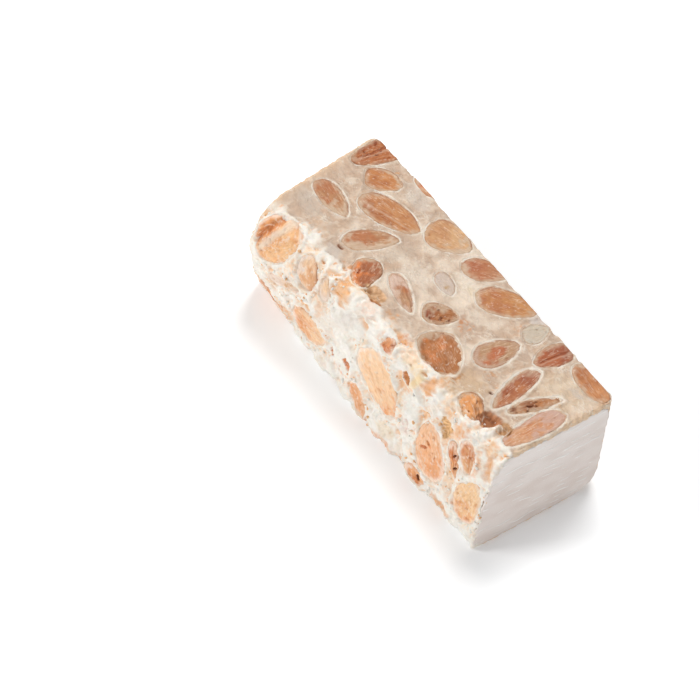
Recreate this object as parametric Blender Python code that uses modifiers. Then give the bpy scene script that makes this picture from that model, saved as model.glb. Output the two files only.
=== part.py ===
"""A bar of almond nougat: white nougat set through with roasted almonds, with a wafer sheet on each end.

Metres, +Z up. The bar lies on its underside with its long side along X, and the origin is on the table
under the middle of its box. The side facing -Y is the torn one, which bulges and twists a little; the other
sides are cut clean through nougat and nuts alike.
"""

from math import atan, cos, radians, sin

import bmesh
import bpy
from mathutils import Matrix, Vector

MM = 0.001

# The block. Its cut faces are planes, some of them a little out of square, as a hand-cut bar is.
HALF_LENGTH = 53.0
HALF_WIDTH = 21.0
HEIGHT = 37.3
NEAR_SKEW = 0.03  # the near end is cut this far off square
NEAR_LEAN = 0.035
FAR_SKEW = 0.09
FAR_LEAN = 0.03
# Where the torn side's foot and top edge stand, and how far it bulges between them. Each is given for the
# middle of the bar, then what share along it adds, from -1 at the far end to 1, then what its square adds.
FRONT_FOOT = (-22.2, -2.4, 2.4)
FRONT_TOP = (-17.9, 1.9, -0.8)
FRONT_BULGE = (1.0, -1.75, 2.35)
FRONT_LEAN = 0.125  # the lean of its seats, back for each mm of height
BOX_MIDDLE = (-0.48, -1.44, 0.0)  # the middle of the block's box in plan, from the middle of its length
CUTS_ALONG = 7  # how many planes of points shape the torn side between its ends, and between foot and top
CUTS_UP = 3

# The wafer sheets
WAFER_THICKNESS = 0.8
WAFER_MARGINS = {"front": 1.4, "back": 1.6, "bottom": 0.4, "top": 3.2}
WAFER_CORNER = 2.5
CLEARANCE = 0.3  # between any two touching pieces

# Roundings of the block's edges, by the two faces that meet there
EDGE_ROUNDINGS = {
    ("front", "top"): 3.6,
    ("back", "top"): 0.9,
    ("bottom", "front"): 1.2,
    ("back", "bottom"): 4.0,
    ("near", "top"): 2.0,
    ("back", "near"): 3.2,
    ("front", "near"): 1.8,
    ("bottom", "near"): 1.0,
    ("far", "top"): 1.6,
    ("back", "far"): 3.2,
    ("far", "front"): 2.6,
    ("bottom", "far"): 1.4,
}

# Almonds
TAPER = 0.24  # how much narrower an almond's tip is than its round end
ALMOND_SIDES = 8
ALMOND_RINGS = 6

# Where each almond shows: along the bar, then across it or up it, from the middle of the bar's length;
# then the almond's length and width on that face and its depth under it; then its turn in degrees,
# anticlockwise from the bar's long side to the tip, and how far its middle lies under the face. In mm.
ALMONDS = {
    "top": [
        (-48.9, 17.6, 17.4, 9.0, 9.0, -99, 0.6),
        (-40.0, 12.8, 11.6, 8.2, 9.0, 32, 0.6),
        (-29.6, 7.2, 20.5, 9.6, 9.0, 17, 0.4),
        (-42.6, -2.8, 15.6, 7.0, 8.0, -3, 0.8),
        (-25.0, -2.6, 16.4, 7.2, 8.0, 58, 0.6),
        (-14.0, 16.0, 14.4, 11.0, 9.0, 20, 0.8),
        (-16.6, -10.6, 11.0, 8.2, 9.0, -62, 0.2),
        (-6.0, -6.1, 14.4, 5.2, 11.0, -17, 0.4),
        (-2.0, 5.6, 8.8, 4.8, 7.0, -12, 0.6),
        (0.3, 17.6, 14.0, 7.6, 9.0, 42, 0.6),
        (12.2, 15.6, 18.2, 9.2, 9.0, 38, 0.4),
        (5.4, -1.8, 10.4, 7.6, 8.0, 42, 0.6),
        (16.0, -9.4, 15.6, 11.6, 10.0, -14, 0.0),
        (23.8, 3.4, 14.6, 8.4, 8.0, 82, 0.8),
        (24.4, 16.2, 8.6, 6.4, 7.0, 84, 0.8),
        (33.0, 15.6, 12.4, 7.4, 9.0, -98, 0.4),
        (36.0, 0.2, 18.6, 6.0, 10.0, -80, 0.4),
        (43.0, 1.4, 16.0, 4.0, 9.0, 72, 0.4),
        (48.8, -3.8, 21.2, 7.0, 8.0, -93, 0.6),
        (46.0, 18.6, 15.4, 7.4, 9.0, -4, 0.4),
        (34.4, -13.2, 10.4, 7.0, 8.0, -22, 0.2),
    ],
    "front": [
        (-42.5, 31.0, 21.5, 14.0, 12.0, -115, 0.2),
        (-29.0, 31.0, 13.0, 8.0, 8.0, 95, 0.6),
        (-21.5, 31.0, 10.0, 4.5, 7.0, 100, 0.6),
        (-36.5, 19.0, 16.5, 4.5, 8.0, 30, 0.6),
        (-42.5, 4.5, 17.0, 5.0, 9.0, -10, 0.4),
        (-24.0, 12.0, 15.5, 11.5, 8.0, 15, 0.4),
        (5.5, 20.0, 22.5, 14.5, 10.0, -35, 0.4),
        (29.5, 16.5, 20.5, 12.5, 9.0, 105, 0.4),
        (47.0, 15.0, 18.0, 10.5, 9.0, 80, 0.6),
        (38.0, 22.0, 12.0, 4.5, 9.0, -65, 0.4),
        (42.0, 27.5, 11.5, 6.5, 8.0, -70, 0.4),
        (4.5, 34.0, 6.5, 5.0, 6.0, 85, 0.2),
        (-0.5, 6.0, 12.5, 7.0, 8.0, -60, 0.6),
        (27.0, 3.5, 10.0, 5.5, 8.0, 10, 0.8),
    ],
    "back": [
        (-31.6, 35.0, 11.2, 6.4, 4.0, 4, 0.2),
        (-43.6, 21.0, 18.4, 10.4, 9.0, -34, 0.6),
        (-27.0, 21.6, 16.6, 9.6, 9.0, 66, 0.4),
        (-9.6, 20.6, 19.6, 10.6, 9.0, 24, 0.6),
        (7.6, 20.4, 15.6, 9.4, 9.0, -58, 0.4),
        (22.6, 20.6, 20.4, 10.6, 9.0, 76, 0.6),
        (39.8, 20.2, 17.8, 9.8, 9.0, -22, 0.4),
        (-36.4, 7.0, 16.0, 8.8, 9.0, 8, 0.6),
        (-14.4, 6.8, 17.0, 8.6, 9.0, -14, 0.4),
        (6.6, 6.8, 13.6, 8.4, 9.0, 32, 0.6),
        (32.4, 6.6, 16.6, 8.4, 9.0, 12, 0.4),
        (48.0, 8.6, 10.4, 7.4, 8.0, 82, 0.6),
    ],
    "bottom": [
        (-42.0, 5.4, 17.6, 10.2, 8.0, 28, 0.6),
        (-38.0, -8.0, 16.4, 8.6, 8.0, -20, 0.4),
        (-22.0, 1.8, 19.4, 9.8, 8.0, 72, 0.6),
        (-8.4, -6.6, 16.6, 8.6, 8.0, 62, 0.4),
        (5.0, 4.0, 18.4, 9.6, 8.0, 34, 0.6),
        (14.6, -8.6, 15.4, 8.8, 8.0, -18, 0.4),
        (26.4, 5.8, 17.4, 9.6, 8.0, -38, 0.6),
        (41.6, 4.2, 18.0, 9.8, 8.0, 76, 0.4),
    ],
}

# Air bubbles the cuts have opened, as along, across or up, width and depth, in mm
BUBBLES = {
    "top": [(41.0, -11.2, 5.6, 3.0)],
    "front": [(30.0, 27.5, 6.0, 3.0), (14.0, 30.5, 4.0, 2.5), (-7.0, 14.5, 3.5, 2.0)],
}
BUBBLE_SIDES = 8
BUBBLE_RINGS = 5

COLOURS = {
    "nougat": ((0.80, 0.72, 0.62, 1.0), 0.55),
    "almond": ((0.62, 0.33, 0.16, 1.0), 0.50),
    "wafer": ((0.78, 0.75, 0.72, 1.0), 0.75),
}


def end_x(end, y, z):
    """Where the near or far end's plane stands, at a place across and up the bar."""
    if end == "near":
        return HALF_LENGTH + NEAR_SKEW * y + NEAR_LEAN * (HEIGHT - z)
    return -HALF_LENGTH - FAR_SKEW * y - FAR_LEAN * (HEIGHT - z)


def side_y(side, x, z):
    """Where the front or back side stands, at a place along the bar and a height. The front goes from its
    foot to its top edge, pushed out between them by a parabola that is highest half way up."""
    if side == "back":
        return HALF_WIDTH
    share = x / HALF_LENGTH
    foot, top, bulge = (
        middle + slope * share + curve * share**2
        for middle, slope, curve in (FRONT_FOOT, FRONT_TOP, FRONT_BULGE)
    )
    up = z / HEIGHT
    return foot + (top - foot) * up - bulge * 4 * up * (1 - up)


def face_frame(face):
    """The directions along the bar, across or up a face, and out of it."""
    lean = atan(FRONT_LEAN)
    along = Vector((1, 0, 0))
    across = {
        "top": Vector((0, 1, 0)),
        "front": Vector((0, sin(lean), cos(lean))),
        "back": Vector((0, 0, 1)),
        "bottom": Vector((0, 1, 0)),
    }[face]
    out = along.cross(across)
    return along, across, -out if face in ("back", "bottom") else out


def point_on(face, along, across):
    """The point of a face at a place along the bar and across or up it, in mm."""
    if face in ("top", "bottom"):
        return Vector((along, across, HEIGHT if face == "top" else 0))
    return Vector((along, side_y(face, along, across), across))


def collection_named(name):
    made = bpy.data.collections.new(name)
    bpy.context.scene.collection.children.link(made)
    return made


def material_named(name):
    colour, roughness = COLOURS[name]
    made = bpy.data.materials.new(name)
    made.use_nodes = True
    shader = made.node_tree.nodes["Principled BSDF"]
    shader.inputs["Base Color"].default_value = colour
    shader.inputs["Roughness"].default_value = roughness
    shader.inputs["Metallic"].default_value = 0.0
    return made


def object_from(name, shape, collection, parent, material=None):
    """A mesh object from a bmesh worked in millimetres, set in the bar's frame under its empty."""
    bmesh.ops.scale(shape, vec=(MM, MM, MM), verts=shape.verts)
    mesh = bpy.data.meshes.new(name)
    shape.to_mesh(mesh)
    shape.free()
    if material:
        mesh.materials.append(material)
    made = bpy.data.objects.new(name, mesh)
    made.parent = parent
    collection.objects.link(made)
    return made


def hide_as_cutter(obj):
    obj.hide_render = True
    obj.display_type = "WIRE"


def cut_across(shape, direction, cuts):
    """Cuts a unit cube by evenly spaced planes across a direction, which adds points along its faces."""
    for n in range(1, cuts + 1):
        everything = shape.verts[:] + shape.edges[:] + shape.faces[:]
        middle = direction * (n / (cuts + 1) - 0.5)
        bmesh.ops.bisect_plane(shape, geom=everything, dist=1e-6, plane_co=middle, plane_no=direction)


def faces_at(vert):
    """The names of the block faces that a point of the unit cube lies on."""
    pairs = (("far", "near"), ("front", "back"), ("bottom", "top"))
    return {pair[place > 0] for pair, place in zip(pairs, vert) if abs(place) > 0.499}


def add_block(name, ends_set_back, collection, parent, material=None):
    """The block: a cube, cut up so that its front can bulge, moved onto its planes, with rounded edges."""
    shape = bmesh.new()
    bmesh.ops.create_cube(shape, size=1.0)
    cut_across(shape, Vector((1, 0, 0)), CUTS_ALONG)
    cut_across(shape, Vector((0, 0, 1)), CUTS_UP)
    weights = shape.edges.layers.float.new("bevel_weight_edge")
    widest = max(EDGE_ROUNDINGS.values())
    for edge in shape.edges:
        shared = tuple(sorted(faces_at(edge.verts[0].co) & faces_at(edge.verts[1].co)))
        edge[weights] = EDGE_ROUNDINGS.get(shared, 0.0) / widest
    for vert in shape.verts:
        share, side, level = vert.co + Vector((0.5, 0, 0.5))
        z = HEIGHT * level
        y = side_y("back" if side > 0 else "front", (2 * share - 1) * HALF_LENGTH, z)
        far, near = end_x("far", y, z) + ends_set_back, end_x("near", y, z) - ends_set_back
        vert.co = (far + (near - far) * share, y, z)
    made = object_from(name, shape, collection, parent, material)
    rounding = made.modifiers.new("edge_roundings", "BEVEL")
    rounding.limit_method = "WEIGHT"
    rounding.width = widest * MM
    rounding.segments = 3
    return made


def add_wafer(end, collection, parent, material):
    """A wafer sheet: a thin plate parallel to its end, smaller than it all round, with rounded corners."""
    low, high = WAFER_MARGINS["bottom"], HEIGHT - WAFER_MARGINS["top"]
    shape = bmesh.new()
    bmesh.ops.create_cube(shape, size=1.0)
    cut_across(shape, Vector((0, 0, 1)), CUTS_UP)
    through = [e for e in shape.edges if all(len(faces_at(v.co)) == 3 for v in e.verts)
               and abs(e.verts[0].co.x - e.verts[1].co.x) > 0.5]
    for vert in shape.verts:
        outer = (vert.co.x > 0) == (end == "near")
        side = "back" if vert.co.y > 0 else "front"
        z = low + (high - low) * (vert.co.z + 0.5)
        margin = WAFER_MARGINS[side]
        end_share = HALF_LENGTH if end == "near" else -HALF_LENGTH
        y = side_y(side, end_share, z) + (margin if side == "front" else -margin)
        inward = -1 if end == "near" else 1
        vert.co = (end_x(end, y, z) + (0 if outer else inward * WAFER_THICKNESS), y, z)
    bmesh.ops.recalc_face_normals(shape, faces=shape.faces)
    bmesh.ops.bevel(shape, geom=through, offset=WAFER_CORNER, segments=4, profile=0.5, affect="EDGES")
    return object_from("wafer_" + end, shape, collection, parent, material)


def add_almond(name, face, seat, grown, collection, parent, material=None):
    """An almond at its seat: a sphere drawn out to a round end and a narrow tip, grown all round."""
    along, across, length, width, depth, turn, sunk = seat
    u, v, out = face_frame(face)
    to_tip = u * cos(radians(turn)) + v * sin(radians(turn))
    sideways = out.cross(to_tip)
    middle = point_on(face, along, across) - out * sunk
    half = Vector((length / 2 + grown, width / 2 + grown, depth / 2 + grown))
    shape = bmesh.new()
    bmesh.ops.create_uvsphere(shape, u_segments=ALMOND_SIDES, v_segments=ALMOND_RINGS, radius=1.0)
    for vert in shape.verts:
        side, height, tip = vert.co
        narrowing = 1 - TAPER * tip
        vert.co = (tip * half.x, side * half.y * narrowing, height * half.z * narrowing)
    turned = Matrix((to_tip, sideways, out)).transposed().to_4x4()
    bmesh.ops.transform(shape, matrix=Matrix.Translation(middle) @ turned, verts=shape.verts)
    bmesh.ops.recalc_face_normals(shape, faces=shape.faces)
    return object_from(name, shape, collection, parent, material)


def add_bubble(name, face, along, across, width, depth, collection, parent):
    """The cutter for an open bubble: a ball, flattened or not, with its middle on the face."""
    shape = bmesh.new()
    bmesh.ops.create_uvsphere(shape, u_segments=BUBBLE_SIDES, v_segments=BUBBLE_RINGS, radius=1.0)
    turned = Matrix(face_frame(face)).transposed().to_4x4()
    sized = Matrix.Diagonal((width / 2, width / 2, depth, 1))
    place = Matrix.Translation(point_on(face, along, across))
    bmesh.ops.transform(shape, matrix=place @ turned @ sized, verts=shape.verts)
    bmesh.ops.recalc_face_normals(shape, faces=shape.faces)
    return object_from(name, shape, collection, parent)


def cut(obj, operation, **cutter):
    boolean = obj.modifiers.new(operation.lower(), "BOOLEAN")
    boolean.operation = operation
    boolean.solver = "EXACT"
    if "collection" in cutter:
        boolean.operand_type = "COLLECTION"
    for key, value in cutter.items():
        setattr(boolean, key, value)


def main():
    for obj in list(bpy.data.objects):
        bpy.data.objects.remove(obj)
    pieces = collection_named("nougat_bar")
    cutters = collection_named("cutters")
    sockets = collection_named("sockets")
    materials = {name: material_named(name) for name in COLOURS}

    bar = bpy.data.objects.new("bar", None)
    bar.location = -Vector(BOX_MIDDLE) * MM
    pieces.objects.link(bar)

    set_back = WAFER_THICKNESS + CLEARANCE
    outline = add_block("block_outline", set_back, cutters, bar)
    hide_as_cutter(outline)
    nougat = add_block("nougat", set_back, pieces, bar, materials["nougat"])
    for end in ("near", "far"):
        add_wafer(end, pieces, bar, materials["wafer"])

    for face, seats in ALMONDS.items():
        for number, seat in enumerate(seats, start=1):
            name = f"almond_{face}_{number:02d}"
            almond = add_almond(name, face, seat, 0.0, pieces, bar, materials["almond"])
            cut(almond, "INTERSECT", object=outline)
            socket = add_almond("socket_" + name, face, seat, CLEARANCE, sockets, bar)
            hide_as_cutter(socket)
    for face, bubbles in BUBBLES.items():
        for number, bubble in enumerate(bubbles, start=1):
            hide_as_cutter(add_bubble(f"bubble_{face}_{number}", face, *bubble, sockets, bar))
    cut(nougat, "DIFFERENCE", collection=sockets)


main()
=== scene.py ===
"""The looks of a cut bar of almond nougat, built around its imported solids.

Lengths here are millimetres in the bar's own frame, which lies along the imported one: x along the bar from
the middle of its length, y across it, z up from its underside. Meshes are written in metres. Colours are
written as screen values from 0 to 255.

The bar is first a straight box, 106 by 42 by 37.3 mm, with rounded edges. All relief is worked out on that
box, and slant() then bulges and twists its torn side and skews its ends.
"""

from itertools import product
from math import atan2, cos, pi, radians, sin

import bpy
import numpy as np
from mathutils import Matrix, Vector


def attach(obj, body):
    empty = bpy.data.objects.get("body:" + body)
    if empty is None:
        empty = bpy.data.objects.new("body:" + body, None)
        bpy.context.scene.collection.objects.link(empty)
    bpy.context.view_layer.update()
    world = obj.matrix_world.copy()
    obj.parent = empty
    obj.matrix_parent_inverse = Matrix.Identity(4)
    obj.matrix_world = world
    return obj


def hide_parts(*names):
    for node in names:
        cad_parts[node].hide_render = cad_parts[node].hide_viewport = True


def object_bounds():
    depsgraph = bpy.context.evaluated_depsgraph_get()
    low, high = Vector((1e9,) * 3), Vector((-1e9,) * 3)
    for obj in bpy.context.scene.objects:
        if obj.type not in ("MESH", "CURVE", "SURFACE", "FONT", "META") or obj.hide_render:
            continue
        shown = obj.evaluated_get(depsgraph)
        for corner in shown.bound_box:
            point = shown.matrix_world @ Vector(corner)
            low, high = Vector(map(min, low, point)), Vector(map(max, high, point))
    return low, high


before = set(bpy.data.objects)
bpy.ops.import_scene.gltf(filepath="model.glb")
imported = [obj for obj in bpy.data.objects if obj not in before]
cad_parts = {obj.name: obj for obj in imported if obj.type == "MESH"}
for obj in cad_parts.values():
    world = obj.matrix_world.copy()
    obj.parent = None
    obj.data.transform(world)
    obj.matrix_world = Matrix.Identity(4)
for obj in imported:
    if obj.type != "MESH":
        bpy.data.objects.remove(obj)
cad_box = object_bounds()

MM = 0.001

# The block, as its solids have it
HALF_LENGTH = 53.0
HALF_WIDTH = 21.0
HEIGHT = 37.3
NEAR_SKEW = 0.03
NEAR_LEAN = 0.035
FAR_SKEW = 0.09
FAR_LEAN = 0.03
# The torn side's foot and top edge, and its bulge between them, each for the middle of the bar, then what
# the share along it adds, from -1 at the far end to 1, and what that share's square adds
FRONT_FOOT = (-22.2, -2.4, 2.4)
FRONT_TOP = (-17.9, 1.9, -0.8)
FRONT_BULGE = (1.0, -1.75, 2.35)
FRONT_LEAN = 0.125  # of its almonds' seats, across for each mm up
BOX_MIDDLE = (-0.48, -1.44, 0.0)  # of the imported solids' box in plan, in the bar's own frame

# Corners of the cross-section, as side, level and radius, from the front's foot up, over and down the back
CORNERS = ((-1, -1, 1.2), (-1, 1, 3.4), (1, 1, 0.9), (1, -1, 4.2))
# and how much rounder each is at the far end and at the near end
FAR_ROUNDER = (0.0, 3.4, 0.0, 0.0)
NEAR_ROUNDER = (0.0, 0.0, 0.0, 4.0)
ARC_STEPS = (6, 18, 5, 6)
SIDE_STEPS = (92, 96, 54, 48)  # front, top, back, underside
# How far each end is rounded in from the front, back, underside and top
FAR_ROUNDING = (2.6, 3.2, 1.4, 1.4)
NEAR_ROUNDING = (1.0, 3.0, 0.8, 1.0)
END_STEPS = 13  # rows of points over the rounding at an end
MIDDLE_STEPS = 246
END_REACH = 5.0
CAP_SCALES = (0.985, 0.965, 0.945, 0.92, 0.89, 0.85, 0.79, 0.6, 0.25)

# The wafer sheets: how far each one's outline lies in from the front, back, underside and top of the box,
# its corners and its thickness
NEAR_WAFER = (0.5, 2.0, 0.5, 1.5)
FAR_WAFER = (2.8, 2.8, 1.0, 2.0)
WAFER_CORNER = 3.4
WAFER_THICKNESS = 0.8
WAFER_INSET = 0.14  # of the middle of the outer face, whose relief comes out of it
WAFER_BACK = 0.05
WAFER_SIDES = 260
WAFER_RINGS = 56
PAST_WAFER = 34.0  # a distance from its middle that is outside it every way
BEHIND_WAFER = 1.0
DASH_ROW = 2.1  # between the rows of dashes pressed into them
DASH_SLOPE = 0.06

CRUMBS = 360  # that cling to the torn side
CRUMB_SIDES = 8
CRUMB_ROWS = 5

TAPER = 0.24  # how much narrower an almond's tip is than its round end

# What one cut almond looks like. Sides are angles from its tip, in degrees.
# flesh, deep, edge: its colours; deep_share is how much of it is deep, deep_from the side that is deepest and
#   heart how much of its middle is deep too; edge_from is the side whose rim is a thin dark line
# film: the share smeared over with nougat of film_colour, from the side film_from
# pits: the share broken out; rough: how uneven it is; grain: the strength of its fibres
# specks, scratches: how many pale crystals and streaks it has; rings: how clear the rings scored into it are
# split: a line along it, as its place across the almond and how dark it is, partly of its own and partly as
# painted shade in its groove; groove: how deep that line is
# proud: how far it stands out, in mm; dish: how far its middle sinks
# lip: how high nougat stands around it; lip_white: how pale that nougat is
PLAIN = {
    "flesh": (190, 130, 75), "deep": (170, 100, 50), "edge": (155, 90, 55), "deep_share": 0.45,
    "deep_from": 200, "edge_from": 90, "film": 0.06, "film_from": 180, "film_colour": (200, 175, 150),
    "pits": 0.05, "grain": 0.6, "specks": 0.12, "scratches": 0.15, "rings": 0.0, "split": None, "groove": 0.3,
    "heart": 0.0, "proud": -0.05, "dish": 0.05, "lip": 0.2, "lip_white": 0.5, "rough": 0.2,
}
KINDS = {
    "tan": {},
    "brown": {"flesh": (175, 105, 55), "deep": (150, 75, 40), "edge": (140, 80, 50), "film": 0.08,
              "specks": 0.25},
    "veiled": {"flesh": (180, 130, 90), "deep": (175, 105, 60), "edge": (165, 120, 95), "film": 0.55},
    "buried": {"flesh": (185, 155, 120), "deep": (175, 135, 95), "edge": (175, 150, 130), "film": 0.8,
               "film_colour": (205, 190, 180)},
    "pitted": {"flesh": (170, 100, 50), "deep": (135, 60, 30), "edge": (160, 100, 60), "pits": 0.4,
               "rough": 0.8},
    "peach": {"flesh": (245, 205, 165), "deep": (230, 155, 100), "edge": (235, 190, 150), "deep_share": 0.2,
              "film": 0.12, "film_colour": (250, 230, 215), "pits": 0.15, "rough": 0.7, "proud": 0.15,
              "lip": 0.3, "lip_white": 0.8, "specks": 0.2},
    "orange": {"flesh": (235, 170, 115), "deep": (205, 120, 65), "edge": (215, 150, 105), "deep_share": 0.5,
               "film": 0.1, "film_colour": (245, 225, 210), "pits": 0.3, "rough": 0.8, "proud": 0.2,
               "lip": 0.3, "lip_white": 0.8, "specks": 0.2},
    "faint": {"flesh": (230, 210, 185), "deep": (220, 180, 140), "edge": (215, 185, 160), "deep_share": 0.3,
              "film": 0.55, "film_colour": (235, 220, 210), "rough": 0.8, "lip": 0.15},
}
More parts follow.
